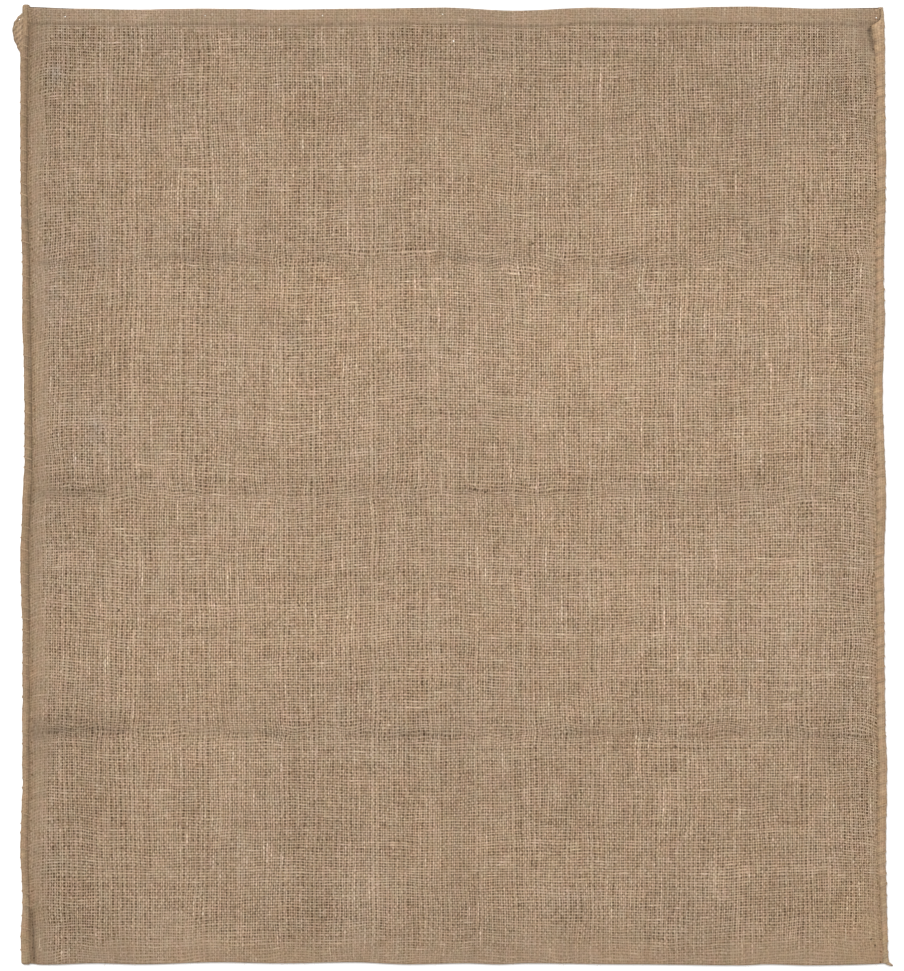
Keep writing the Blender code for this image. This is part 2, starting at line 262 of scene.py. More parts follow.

# Short creases and pinches: from one end to the other, how wide, how deep, and how dark the painted
# shade in them is
Pinch = namedtuple("Pinch", "x0 y0 x1 y1 width depth dark")
PINCHES = (
    Pinch(0.7545, 0.834, 0.759, 0.816, 0.0016, 0.0007, 0.34),
    Pinch(0.755, 0.8345, 0.764, 0.8435, 0.0012, 0.0004, 0.3),
    Pinch(0.747, 0.833, 0.753, 0.815, 0.0014, 0.0004, 0.1),
    Pinch(0.0084, 0.048, 0.0106, 0.003, 0.0014, 0.0008, 0.34),
    Pinch(0.395, 0.416, 0.43, 0.421, 0.006, 0.0004, 0.04),
    Pinch(0.01, 0.418, 0.07, 0.421, 0.006, 0.0006, 0.06),
    Pinch(0.008, 0.208, 0.085, 0.213, 0.007, 0.0008, 0.09),
    Pinch(0.15, 0.628, 0.195, 0.633, 0.005, 0.0004, 0.05),
    Pinch(0.47, 0.208, 0.56, 0.204, 0.005, 0.0004, 0.04),
    Pinch(0.11, 0.63, 0.132, 0.631, 0.0014, 0.0004, 0.08),
    Pinch(0.133, 0.6322, 0.148, 0.63, 0.0016, 0.0005, 0.1),
    Pinch(0.15, 0.629, 0.178, 0.6305, 0.0013, 0.0004, 0.07),
    Pinch(0.129, 0.608, 0.136, 0.611, 0.0014, 0.0004, 0.08),
    Pinch(0.04, 0.633, 0.072, 0.63, 0.0014, 0.0004, 0.07),
    Pinch(0.24, 0.627, 0.28, 0.63, 0.0014, 0.0004, 0.06),
    Pinch(0.37, 0.631, 0.408, 0.629, 0.0014, 0.0004, 0.07),
    Pinch(0.52, 0.624, 0.56, 0.627, 0.0014, 0.0004, 0.06),
    Pinch(0.65, 0.623, 0.675, 0.621, 0.0014, 0.0004, 0.06),
    Pinch(0.03, 0.418, 0.064, 0.42, 0.0014, 0.0004, 0.07),
    Pinch(0.18, 0.422, 0.215, 0.42, 0.0014, 0.0004, 0.06),
    Pinch(0.388, 0.419, 0.41, 0.4215, 0.0013, 0.0004, 0.1),
    Pinch(0.422, 0.42, 0.47, 0.417, 0.0014, 0.0004, 0.07),
    Pinch(0.59, 0.418, 0.63, 0.42, 0.0014, 0.0004, 0.06),
    Pinch(0.025, 0.207, 0.05, 0.21, 0.0014, 0.0005, 0.1),
    Pinch(0.056, 0.211, 0.09, 0.208, 0.0014, 0.0004, 0.08),
    Pinch(0.2, 0.206, 0.25, 0.209, 0.0014, 0.0004, 0.06),
    Pinch(0.33, 0.205, 0.375, 0.207, 0.0014, 0.0004, 0.07),
    Pinch(0.485, 0.208, 0.52, 0.206, 0.0014, 0.0004, 0.07),
    Pinch(0.6, 0.204, 0.64, 0.207, 0.0014, 0.0004, 0.06),
)

# What changes towards the edges of the cloth: how much of it there is at an edge, and how far in it
# reaches. First how much painted shade darkens the cloth beside the rolled seams, towards the left
# side, below the hem and towards the bottom fold, then how crookedly its yarns lie, how far its picks
# slant, and how much more closely it is woven.
Fade = namedtuple("Fade", "edge amount reach")
EDGE_SHADES = (
    Fade("bottom", 0.085, 0.045),
    Fade("hem", 0.090, 0.050),
    Fade("left", 0.090, 0.014),
    Fade("left", 0.045, 0.050),
    Fade("right", 0.050, 0.013),
)
CROOKED_EDGES = (Fade("side", 1.0, 0.022), Fade("bottom", 0.7, 0.020))
SLANTED_EDGES = (Fade("left", 1.9, 0.008), Fade("right", 0.7, 0.006))
CLOSE_EDGES = (Fade("bottom", 0.95, 0.030), Fade("hem", 0.50, 0.018))

# Patches of lighter and darker cloth, partly its own tone and partly painted light and shade: lighter
# over the bulging panels between the creases, darker towards the sides and the top. Where, how wide,
# how high, and how much lighter
Patch = namedtuple("Patch", "x y across up light")
PATCHES = (
    Patch(0.385, 0.83, 0.6, 0.11, -0.075),
    Patch(0.385, 0.545, 0.42, 0.1, 0.045),
    Patch(0.4, 0.31, 0.42, 0.075, 0.06),
    Patch(0.0, 0.43, 0.07, 0.6, -0.07),
    Patch(0.58, 0.43, 0.14, 0.6, 0.02),
    Patch(0.015, 0.8, 0.05, 0.05, -0.045),
    Patch(0.02, 0.42, 0.05, 0.05, -0.05),
    Patch(0.02, 0.205, 0.06, 0.045, -0.06),
    Patch(0.03, 0.045, 0.07, 0.08, -0.06),
    Patch(0.385, 0.145, 0.022, 0.15, -0.04),
    Patch(0.59, 0.745, 0.02, 0.1, -0.04),
    Patch(0.64, 0.7, 0.08, 0.08, -0.025),
    Patch(0.5, 0.53, 0.08, 0.11, 0.035),
    Patch(0.68, 0.53, 0.06, 0.1, 0.045),
    Patch(0.69, 0.31, 0.05, 0.09, 0.035),
    Patch(0.27, 0.575, 0.08, 0.06, 0.03),
    Patch(0.08, 0.64, 0.12, 0.12, -0.03),
    Patch(0.11, 0.48, 0.08, 0.11, -0.02),
    Patch(0.12, 0.3, 0.08, 0.06, 0.015),
    Patch(0.56, 0.04, 0.2, 0.04, -0.03),
    Patch(0.3, 0.03, 0.12, 0.035, -0.025),
    Patch(0.74, 0.23, 0.035, 0.045, -0.03),
    Patch(0.4, 0.64, 0.12, 0.02, -0.02),
    Patch(0.69, 0.84, 0.09, 0.012, 0.03),
)

# Patches where the yarns are greyer or more golden: where, how wide, how high, and how much warmer
GREYS = (
    Patch(0.03, 0.796, 0.006, 0.01, -1.5),
    Patch(0.07, 0.641, 0.01, 0.012, -1.0),
    Patch(0.067, 0.476, 0.009, 0.014, -1.2),
    Patch(0.716, 0.481, 0.012, 0.014, -0.8),
    Patch(0.484, 0.058, 0.018, 0.012, -0.6),
    Patch(0.24, 0.56, 0.008, 0.008, -0.8),
    Patch(0.03, 0.6, 0.016, 0.06, -0.5),
    Patch(0.748, 0.035, 0.036, 0.055, 0.9),
    Patch(0.11, 0.78, 0.014, 0.014, 0.8),
    Patch(0.385, 0.0, 0.5, 0.022, 0.3),
)

# Patches where the cloth is drawn together: where, how wide, how high, and how much closer it is
CLOSER = (
    Patch(0.755, 0.03, 0.026, 0.06, 0.3),
    Patch(0.745, 0.825, 0.02, 0.02, 0.5),
    Patch(0.03, 0.03, 0.03, 0.04, -0.25),
)

# Bits of white lint caught in the cloth, dark knots in it, and pale slubs along a yarn
Speck = namedtuple("Speck", "x y size")
LINT = (
    Speck(-0.0022, 0.842, 0.0005),
    Speck(0.0392, 0.8438, 0.0005),
    Speck(0.1638, 0.8442, 0.0004),
    Speck(0.268, 0.8442, 0.0004),
    Speck(0.3748, 0.8455, 0.0004),
    Speck(0.3845, 0.822, 0.0006),
    Speck(0.2296, 0.8322, 0.0005),
    Speck(0.7612, 0.8435, 0.0005),
)
KNOTS = (
    Speck(0.404, 0.4235, 0.0012),
    Speck(0.4125, 0.421, 0.001),
    Speck(0.396, 0.412, 0.0009),
    Speck(0.301, 0.76, 0.0009),
    Speck(0.432, 0.642, 0.0009),
    Speck(0.4545, 0.642, 0.0009),
    Speck(0.407, 0.5015, 0.001),
    Speck(0.564, 0.502, 0.0009),
    Speck(0.577, 0.588, 0.0008),
    Speck(0.582, 0.194, 0.0011),
    Speck(0.648, 0.195, 0.0009),
    Speck(0.6, 0.14, 0.0008),
    Speck(0.102, 0.656, 0.0008),
    Speck(0.087, 0.316, 0.001),
    Speck(0.085, 0.615, 0.0008),
    Speck(0.247, 0.32, 0.0009),
    Speck(0.76, 0.017, 0.0008),
    Speck(0.7565, 0.0225, 0.0008),
    Speck(0.175, 0.09, 0.0008),
    Speck(0.333, 0.72, 0.0007),
    Speck(0.1736, 0.7618, 0.0007),
    Speck(0.1967, 0.761, 0.0007),
    Speck(0.299, 0.614, 0.0008),
    Speck(0.5153, 0.6426, 0.0007),
    Speck(0.6399, 0.5901, 0.0008),
    Speck(0.5198, 0.5162, 0.0007),
    Speck(0.6711, 0.2207, 0.0007),
    Speck(0.704, 0.1522, 0.0007),
    Speck(0.7565, 0.1139, 0.0007),
)

# The palest and thickest slubs: where each one starts, which way it lies, its length and thickness
Slub = namedtuple("Slub", "x y lies length size")
SLUBS = (
    Slub(0.129, 0.7645, "across", 0.021, 0.00042),
    Slub(0.1326, 0.7084, "across", 0.026, 0.00062),
    Slub(0.251, 0.7654, "across", 0.021, 0.00042),
    Slub(0.2812, 0.647, "across", 0.035, 0.00045),
    Slub(0.106, 0.688, "across", 0.036, 0.00045),
    Slub(0.668, 0.2456, "across", 0.026, 0.0005),
    Slub(0.652, 0.1673, "across", 0.023, 0.0005),
    Slub(0.4984, 0.5304, "up", 0.082, 0.0005),
    Slub(0.1121, 0.783, "up", 0.022, 0.00045),
    Slub(0.3738, 0.4147, "up", 0.036, 0.0005),
    Slub(0.7334, 0.0205, "up", 0.015, 0.00045),
    Slub(0.016, 0.0116, "up", 0.013, 0.00048),
)


# ---------------------------------------------------------------- shapes and sums over the sack


def smooth(part):
    """A part from 0 to 1, eased at both ends."""
    return part * part * (3 - 2 * part)


def eased(rows, field, at):
    """The named column of a table at places along its first column, eased between its rows."""
    keys = np.array([row[0] for row in rows])
    values = np.array([getattr(row, field) for row in rows])
    at = np.clip(at, keys[0], keys[-1])
    step = np.clip(np.searchsorted(keys, at, side="right") - 1, 0, len(rows) - 2)
    part = smooth((at - keys[step]) / (keys[step + 1] - keys[step]))
    return values[step] + (values[step + 1] - values[step]) * part


def rise(distance, reach):
    """0 at a seam or fold and 1 past its reach, steep at first as pinched cloth is."""
    part = np.clip(distance / reach, 0.0, 1.0)
    return 1 - (1 - part) ** 2


def bell(distance, width):
    """1 at the middle of a crease and 0 past its width."""
    part = np.minimum(np.abs(distance) / width, 1.0)
    return (1 - part * part) ** 2


@lru_cache(maxsize=None)
def lattice(seed):
    """Random numbers from -1 to 1 on a square grid."""
    return np.random.default_rng(seed).uniform(-1, 1, (LATTICE_SIZE, LATTICE_SIZE))


def noise(x, y, across, up, seed):
    """Smooth noise from -1 to 1 over places on the sack, with swings of about these lengths."""
    corners = lattice(seed)
    x, y = x / across + 64, y / up + 64
    column, row = np.floor(x).astype(int), np.floor(y).astype(int)
    x, y = smooth(x - column), smooth(y - row)

    def corner(right, above):
        return corners[(row + above) % LATTICE_SIZE, (column + right) % LATTICE_SIZE]

    low = corner(0, 0) * (1 - x) + corner(1, 0) * x
    high = corner(0, 1) * (1 - x) + corner(1, 1) * x
    return low * (1 - y) + high * y


def wandered(across, height):
    """The height moved by the wander of the creases near it."""
    for number, crease in enumerate(CROSS_CREASES):
        swing = np.sin(math.tau * (across / WANDER_LENGTH + 0.3 * number))
        height = height + crease.wander * swing * bell(height - crease.at, WANDER_REACH)
    return height


def edge_out(rows, across):
    return eased(rows, "out", across)


def nips(height):
    """Where the two side seams pinch the cloth, at a height."""
    left = eased(LEFT_SEAM, "width", height) - eased(LEFT_SEAM, "out", height)
    right = eased(RIGHT_SEAM, "out", height) - eased(RIGHT_SEAM, "width", height)
    return left, SACK_WIDTH + right


def fading(distance, reach):
    """1 at an edge, fading away from it."""
    return np.exp(-np.maximum(distance, 0.0) / reach)


class Plan:
    """Places over the sack, each from its height above the bottom fold and its part across."""

    def __init__(self, heights, parts):
        self.height, self.part = np.broadcast_arrays(np.asarray(heights, float), parts)
        left_nip, right_nip = nips(self.height)
        self.x = left_nip + (right_nip - left_nip) * self.part
        self.from_left = self.x - left_nip
        self.from_right = right_nip - self.x
        self.from_side = np.minimum(self.from_left, self.from_right)
        self.below_hem = HEM_EDGE - self.height
        self.edges = {
            "bottom": self.height,
            "hem": self.below_hem,
            "left": self.from_left,
            "right": self.from_right,
            "side": self.from_side,
        }
        low = FOLD_ROUND - edge_out(BOTTOM, self.x)
        high = SACK_HEIGHT + edge_out(MOUTH, self.x)
        self.y = low + (high - low) * wandered(self.x, self.height) / SACK_HEIGHT

    def uneven(self, kind):
        """How far an uneven shape or colour is from its middle at each place."""
        return kind.size * noise(self.x, self.y, kind.across, kind.up, kind.seed)

    def fades(self, table):
        """How much the fades of a table add at each place."""
        return sum(fade.amount * fading(self.edges[fade.edge], fade.reach) for fade in table)

    def inset(self):
        """How far the front lies below the back: nothing at the bottom, all of it at the mouth."""
        return HEM_INSET * rise(self.height - 0.6 * SACK_HEIGHT, 0.4 * SACK_HEIGHT)

    def drape(self):
        """1 on the hem, falling to 0 below it and towards the sides."""
        fall = np.maximum(0.0, 1 - np.maximum(self.below_hem, 0.0) / HEM_DRAPE)
        return fall * rise(self.from_side, 0.5 * SIDE_REACH)

    def crease(self, field):
        """What the creases add at each place, from the named column, less towards the sides."""
        total = 0.0
        for creases, at in ((CROSS_CREASES, self.height), (LONG_CREASES, self.x)):
            for crease in creases:
                width = DARK_WIDTH if field == "dark" else CREASE_WIDTH
                total = total + getattr(crease, field) * bell(at - crease.at, width)
        return total * rise(self.from_side, SIDE_REACH)

    def near_crease(self, reach):
        """1 on a cross crease, falling to 0 past its reach."""
        return sum(bell(self.height - crease.at, reach) for crease in CROSS_CREASES)

    def fullness(self):
        """0 at the seams and the bottom fold, and 1 over the middle of the sack."""
        return rise(self.from_side, SIDE_REACH) * rise(self.height, BOTTOM_REACH)

    def nip_height(self):
        """The height of the two layers and the fold where nothing lies between them."""
        fold = 1 - rise(self.height, BOTTOM_REACH)
        layers = 2 * CLOTH
        return layers + (FOLD_HEIGHT - layers) * fold * rise(self.from_side, FOLD_TAPER)

    def back_low(self):
        """The underside of the back, without its hem."""
        nip = PINCH_LIFT * (1 - rise(self.from_side, PINCH_REACH))
        lift = self.crease("lift") * rise(self.height, BOTTOM_REACH)
        return nip + lift + HEM_RISE * self.drape()

    def pinches(self, field):
        """What the short creases add at each place, from the named column."""
        total = 0.0
        for pinch in PINCHES:
            run_x, run_y = pinch.x1 - pinch.x0, pinch.y1 - pinch.y0
            off_x, off_y = self.x - pinch.x0, self.y - pinch.y0
            along = (off_x * run_x + off_y * run_y) / (run_x**2 + run_y**2)
            along = np.clip(along, 0.0, 1.0)
            away = np.hypot(off_x - along * run_x, off_y - along * run_y)
            total = total + getattr(pinch, field) * bell(away, 2 * pinch.width)
        return total

    def relief(self):
        """The front's own bulges and crumples, and its gathers at the bottom, over the slow waves."""
        bulge = BULGE * (1 - np.minimum(self.near_crease(CREASE_SHOULDER), 1.0))
        crumple = self.uneven(CRUMPLES) * (0.25 + np.minimum(self.near_crease(CREASE_CRUMPLE), 1.0))
        gather = self.uneven(GATHERS) * fading(self.height, 0.020)
        return bulge + self.uneven(SLOW_BULGES) + self.uneven(SMALL_BULGES) + crumple + gather

    def puckers(self):
        """Small folds that run in from the oversewing stitches."""
        turn = self.y / SEAM_STITCH
        left = fading(self.from_left, PUCKER_REACH) * np.cos(math.tau * turn)
        right = fading(self.from_right, PUCKER_REACH) * np.cos(math.tau * (turn + RIGHT_PHASE))
        return PUCKER_HEIGHT * (0.7 + self.uneven(PUCKER_SIZES)) * (left + right)

    def front_top(self):
        """The outside of the front, without its hem."""
        swell = sum(
            wave.height
            * np.sin(math.tau * (self.x / wave.across + self.height / wave.up + wave.turn))
            for wave in WAVES
        )
        gap = (GAP + swell + self.relief() - self.crease("depth")) * self.fullness()
        lift = self.crease("lift") * rise(self.height, BOTTOM_REACH)
        top = self.nip_height() + lift + HEM_RISE * self.drape() + np.maximum(gap, 0.0)
        top = top + self.puckers() * rise(self.from_side, 0.004) * rise(self.height, 0.010)
        return top - self.pinches("depth") * rise(self.from_side, 0.003)

    def patches(self, table):
        """How much the patches of a table add at each place."""
        total = 0.0
        for patch in table:
            away = np.hypot((self.x - patch.x) / patch.across, (self.y - patch.y) / patch.up)
            total = total + patch.light * np.exp(-away * away)
        return total

    def folded_lines(self):
        """Painted shade: the thin dark broken line down the middle of each cross crease."""
        total = 0.0
        for number, crease in enumerate(CROSS_CREASES):
            strays = 0.0016 * noise(self.x, self.y, 0.011, 0.9, 23 + number)
            broken = np.clip(0.55 + 0.9 * noise(self.x, self.y, 0.030, 0.9, 26 + number), 0.0, 1.0)
            total = total + crease.line * broken * bell(self.height - crease.at - strays, 0.0040)
        return total * rise(self.from_side, 0.010)

    def shade(self):
        """How light the cloth is beside its middle tone: painted shade in its creases, pinches and
        seam grooves and along its edges, its patches, partly painted light and shade and partly its
        own tone, and its own lighter and darker clouds.
        """
        light = 1.0 - self.crease("dark") - self.pinches("dark")
        light = light + self.patches(PATCHES) - self.folded_lines()
        light = light + self.uneven(CLOUDS) + self.uneven(SMALL_CLOUDS)
        return light - self.fades(EDGE_SHADES) - rise(self.below_hem, 0.006) * self.grooves()

    def grooves(self):
        """Painted shade: the dark dotted lines where the cloth goes in under the rolled seams, darkest
        at the stitches.
        """
        left = (0.02 + 0.07 * rise(self.height - 0.20, 0.30)) * (0.4 + 1.2 * squeeze(self.y, "left"))
        right = 0.16 * squeeze(self.y, "right") * rise(self.height, 0.060)
        return left * fading(self.from_left, 0.0013) + right * fading(self.from_right, 0.0016)

    def weave(self):
        """Where each place is in the weave: counted in warp ends across and weft picks up."""
        near = self.fades(CROOKED_EDGES) + self.near_crease(CREASE_HALO)
        ends = self.x / END_PITCH + self.uneven(ENDS_DRIFT)
        ends = ends + (0.25 + 0.45 * near) * self.uneven(ENDS_SWAY)
        ends = ends + 0.35 * near * self.uneven(ENDS_JITTER)
        picks = self.y / PICK_PITCH + self.uneven(PICKS_DRIFT)
        picks = picks + (0.30 + 0.80 * near) * self.uneven(PICKS_SWAY)
        picks = picks + 0.40 * near * self.uneven(PICKS_JITTER)
        return ends, picks + self.fades(SLANTED_EDGES)

    def closeness(self):
        """How closely the cloth is woven: 0 where its holes show, 1 where they don't."""
        near = 1.10 * bell(self.from_left, 0.024) + 0.60 * bell(self.from_right, 0.016)
        near = near + self.fades(CLOSE_EDGES) + self.patches(CLOSER)
        near = near + 0.30 * self.near_crease(CREASE_HALO)
        return near + 0.28 - 0.20 * (self.uneven(LOOSE_PARTS) + self.uneven(SMALL_LOOSE_PARTS))


def columns():
    """Where the columns stand, from 0 at the left nip to 1 at the right, tucked past both."""
    span = SACK_WIDTH - BOTH_ROLLS
    tucked = -TUCK / span
    edge = [EDGE_STEP * step / span for step in range(EDGE_STEPS)]
    inner = 1 - 2 * edge[-1]
    steps = 2 * math.ceil(inner * span / COLUMN_STEP / 2)
    middle = [edge[-1] + inner * step / steps for step in range(1, steps)]
    parts = [tucked] + edge + middle + [1 - part for part in reversed(edge)] + [1 - tucked]
    return np.array(parts)


# ---------------------------------------------------------------- meshes


def grid_faces(rows, across, first=0):
    """Quads over a grid of vertices that are numbered row by row."""
    corner = first + np.arange(rows - 1)[:, None] * across + np.arange(across - 1)[None, :]
    corner = corner.ravel()
    return np.stack([corner, corner + 1, corner + across + 1, corner + across], axis=1)


def border(rows, across, first=0):
    """The vertices round a grid, in order, each once."""
    number = first + np.arange(rows * across).reshape(rows, across)
    return np.concatenate([number[0, :-1], number[:-1, -1], number[-1, :0:-1], number[:0:-1, 0]])


def set_values(mesh, name, values):
    attribute = mesh.attributes.new(name, "FLOAT", "POINT")
    attribute.data.foreach_set("value", np.asarray(values, np.float32).ravel())


def set_map(mesh, name, across, up):
    """A UV map from one pair of numbers for each vertex."""
    vertex = np.empty(len(mesh.loops), np.int32)
    mesh.loops.foreach_get("vertex_index", vertex)
    pairs = np.stack([np.ravel(across), np.ravel(up)], axis=1).astype(np.float32)
    mesh.uv_layers.new(name=name).data.foreach_set("uv", pairs[vertex].ravel())


def placed(points):
    """Points measured from the side line and the bottom line, moved into the frame."""
    return np.asarray(points, float).reshape(-1, 3) + (LEFT_LINE, BOTTOM_LINE, 0.0)


def mesh_object(name, points, faces):
    mesh = bpy.data.meshes.new(name)
    mesh.from_pydata(placed(points).tolist(), [], [list(map(int, face)) for face in faces])
    mesh.shade_smooth()
    piece = bpy.data.objects.new(name, mesh)
    bpy.context.scene.collection.objects.link(piece)
    return piece


def face_out(mesh):
    """Turns the faces of a closed mesh outwards."""
    shell = bmesh.new()
    shell.from_mesh(mesh)
    bmesh.ops.recalc_face_normals(shell, faces=shell.faces)
    shell.to_mesh(mesh)
    shell.free()


def cloth_object(name, outer, inner, fields, materials):
    """A closed sheet: the fine outer skin, the inner skin at half its detail, and the rim."""
    rows, across = outer.shape[:2]
    inner = inner[::2, ::2]
    inner_rows, inner_across = inner.shape[:2]
    first = rows * across
    outside = grid_faces(rows, across)
    inside = grid_faces(inner_rows, inner_across, first)[:, ::-1]
    wide, narrow = border(rows, across), border(inner_rows, inner_across, first)
    rim = []
    for step in range(len(narrow)):
        a, b, c = wide[2 * step], wide[2 * step + 1], wide[(2 * step + 2) % len(wide)]
        rim.append((c, b, a, narrow[step], narrow[(step + 1) % len(narrow)]))
    points = np.concatenate([outer.reshape(-1, 3), inner.reshape(-1, 3)])
    piece = mesh_object(name, points, list(outside) + list(inside) + rim)
    mesh = piece.data
    face_out(mesh)
    for material in materials:
        mesh.materials.append(material)
    wears = np.zeros(len(mesh.polygons), np.int32)
    wears[len(outside):] = 1
    mesh.polygons.foreach_set("material_index", wears)
    for field, values in fields.items():
        both = [np.concatenate([part.ravel(), part[::2, ::2].ravel()]) for part in values]
        if len(both) == 2:
            set_map(mesh, field, *both)
        else:
            set_values(mesh, field, both[0])
    return piece


# The baked map: the margin round it, and the strip at its bottom that the inner skin has to itself
BAKE_MARGIN = 0.003
INNER_SHARE = 0.060
OUTER_START = 0.072


def bake_places(rows, across):
    """Where each vertex lies on the map that the looks are baked to, before the skins are parted."""
    up = np.repeat(np.linspace(0.0, 1.0, rows)[:, None], across, axis=1)
    side = np.repeat(np.linspace(0.0, 1.0, across)[None, :], rows, axis=0)
    return side, up


HEM_SHIFT = 0.37            # how far the picks of the turned hem are out of step with those below
HEM_CLOSE = 1.3             # how close the hem's weave is, as Plan.closeness counts it
HEM_LIGHTER = 0.015
HEM_WARMER = 0.05
BACK_HEM_WARMER = 0.25
BACK_DARKER = 0.02
HEM_PAINTED_SHADOW = 0.05      # how dark the painted shadow under the turned hem's edge is, where it is darkest
BACK_COUNT = 400.0          # where the count of the back's yarns starts, clear of the front's

# A row of a sheet: its height above the bottom fold, how far it is turned round the fold, and how
# far it steps up the sack and out of the cloth.
Row = namedtuple("Row", "height turn step_y step_z")


def hem_rows(steps):
    """The hem's rows: up the slope of its edge, across it in equal steps, and over its lip."""
    lip = 0.5 * (HEM_RISE + SKIN)
    rows = [
        Row(HEM_EDGE, 0.0, -0.0007, 0.0),
        Row(HEM_EDGE, 0.0, -0.0001, 0.0004),
        Row(HEM_EDGE, 0.0, 0.0005, 0.0009),
        Row(HEM_EDGE, 0.0, 0.0014, HEM_RISE),
    ]
    for step in range(1, steps):
        rows.append(Row(HEM_EDGE + step / steps * (HEM_DEPTH - lip), 0.0, 0, HEM_RISE))
    for step in range(LIP_ROWS + 1):
        angle = 0.8 * math.pi * step / LIP_ROWS
        out, up = lip * math.sin(angle) - lip, lip * math.cos(angle) - lip
        rows.append(Row(SACK_HEIGHT, 0.0, out, HEM_RISE + up))
    return rows


def plain_rows(low, high, others):
    """Rows at an even spacing, one more if it takes one to make the sheet's whole count odd."""
    steps = math.ceil((high - low) / ROW_STEP)
    steps += (steps + others) % 2 == 0
    return [Row(low + (high - low) * step / steps, 0.0, 0, 0) for step in range(steps)]


def front_rows():
    """The front's rows: from the underside, round the bottom fold, up to the hem and its lip."""
    under = [Row(UNDER_REACH, 1.0, 0, 0), Row(0.5 * UNDER_REACH, 1.0, 0, 0)]
    under += [Row(0.0, 1 - step / FOLD_ROWS, 0, 0) for step in range(FOLD_ROWS)]
    hem = hem_rows(5)
    return under + plain_rows(0.0, HEM_EDGE, len(under) + len(hem)) + hem


def column_of(rows, field):
    return np.array([getattr(row, field) for row in rows])[:, None]


def warmth(plan, seed):
    """How much warmer the cloth is than its middle colour."""
    grooves = 0.9 * fading(plan.from_left, 0.0040) + 0.8 * fading(plan.from_right, 0.0030)
    return 0.25 * noise(plan.x, plan.y, 0.06, 0.05, seed) + plan.patches(GREYS) + grooves


def sheet_fields(plan, hem, ends, picks, shade, warm):
    """What the cloth's material reads at each place of a sheet."""
    return {
        "OFBake": bake_places(*plan.x.shape),
        "weave": (ends, picks + np.where(hem > 0, HEM_SHIFT, 0.0)),
        "stitching": stitching(plan, SACK_HEIGHT - HEM_LINE),
        "close": (np.where(hem > 0, HEM_CLOSE, plan.closeness()),),
        "shade": (shade,),
        "warm": (warm,),
    }


def make_front(materials):
    rows, parts = front_rows(), columns()
    plan = Plan(column_of(rows, "height"), parts[None, :])
    turn = math.pi * column_of(rows, "turn")
    top, low = plan.front_top(), plan.back_low()
    radius = 0.5 * (top - low)
    proud = column_of(rows, "step_z")
    hem = np.clip(proud / HEM_RISE, 0.0, 1.0)
    along = plan.x / HEM_STITCH
    sewn = bell(SACK_HEIGHT - HEM_LINE - plan.height, DIMPLE_REACH)
    dimple = DIMPLE_DEPTH * bell((along % 1.0) - 0.5, 0.30) * sewn
    x = plan.x
    base_y = plan.y - plan.inset()
    outer_y = base_y - radius * np.sin(turn) + column_of(rows, "step_y")
    outer_y = outer_y + np.where(hem > 0, plan.uneven(MOUTH_EDGE), 0.0)
    outer_z = low + radius * (1 + np.cos(turn)) + proud - dimple * hem
    inner_radius = radius - SKIN
    inner_y = base_y - inner_radius * np.sin(turn) + np.minimum(column_of(rows, "step_y"), 0.0)
    inner_z = low + radius + inner_radius * np.cos(turn)
    ends, picks = plan.weave()
    steps = np.hypot(np.diff(outer_y, axis=0), np.diff(outer_z, axis=0)).mean(axis=1)
    walked = np.concatenate([[0.0], np.cumsum(steps)])
    walked = walked - walked[FOLD_ROWS + 2]
    around = walked[:, None] / PICK_PITCH - plan.height / PICK_PITCH
    picks = picks + np.where(turn > 0, around, 0.0)
    shade = plan.shade() + np.where(hem > 0, HEM_LIGHTER, 0.0)
    # Painted shadow along the lower edge of the turned hem, stronger in some places than in others
    hem_shadow_strength = 0.5 + plan.uneven(HEM_SHADOW_UNEVEN)
    shade = shade - HEM_PAINTED_SHADOW * hem_shadow_strength * bell(plan.height - HEM_EDGE, 0.0022) * (hem < 0.9)
    warm = np.where(hem > 0, HEM_WARMER, 0.0) + warmth(plan, 61)
    fields = sheet_fields(plan, hem, ends, picks, shade, warm)
    outer = np.stack([x, outer_y, outer_z], axis=2)
    inner = np.stack([x, inner_y, inner_z], axis=2)
    piece = cloth_object("sack_front", outer, inner, fields, materials)
    part_skins(piece)
    return piece


def stitching(plan, hem_height):
    """Stitches counted along the nearest line of stitches, and millimetres from that line."""
    from_hem = 1000 * (plan.height - hem_height)
    from_left = 1000 * (plan.from_left - NEEDLE_LINE)
    from_right = 1000 * (plan.from_right - NEEDLE_LINE)
    from_seam = np.where(plan.part < 0.5, from_left, from_right)
    along_seam = plan.y / SEAM_STITCH + np.where(plan.part < 0.5, 0.0, RIGHT_PHASE)
    nearer = np.abs(from_hem) < np.abs(from_seam)
    along = np.where(nearer, plan.x / HEM_STITCH, along_seam)
    return along, np.where(nearer, from_hem, from_seam)


def part_skins(piece):
    """Gives the outer skin nearly all of the baked map, and the inner skin a strip below it."""
    mesh = piece.data
    places = np.empty(len(mesh.loops) * 2, np.float32)
    layer = mesh.uv_layers["OFBake"].data
    layer.foreach_get("uv", places)
    places = places.reshape(-1, 2)
    wears = np.empty(len(mesh.polygons), np.int32)
    mesh.polygons.foreach_get("material_index", wears)
    counts = np.empty(len(mesh.polygons), np.int32)
    mesh.polygons.foreach_get("loop_total", counts)
    inside = np.repeat(wears, counts) == 1
    places[:, 0] = BAKE_MARGIN + (1 - 2 * BAKE_MARGIN) * places[:, 0]
    inner_up = BAKE_MARGIN + INNER_SHARE * places[:, 1]
    outer_up = OUTER_START + (1 - BAKE_MARGIN - OUTER_START) * places[:, 1]
    places[:, 1] = np.where(inside, inner_up, outer_up)
    layer.foreach_set("uv", places.ravel())


def back_rows():
    """The back's rows: from where the front ends, up the underside to the hem and its lip."""
    hem = hem_rows(4)
    return plain_rows(UNDER_REACH, HEM_EDGE, len(hem)) + hem


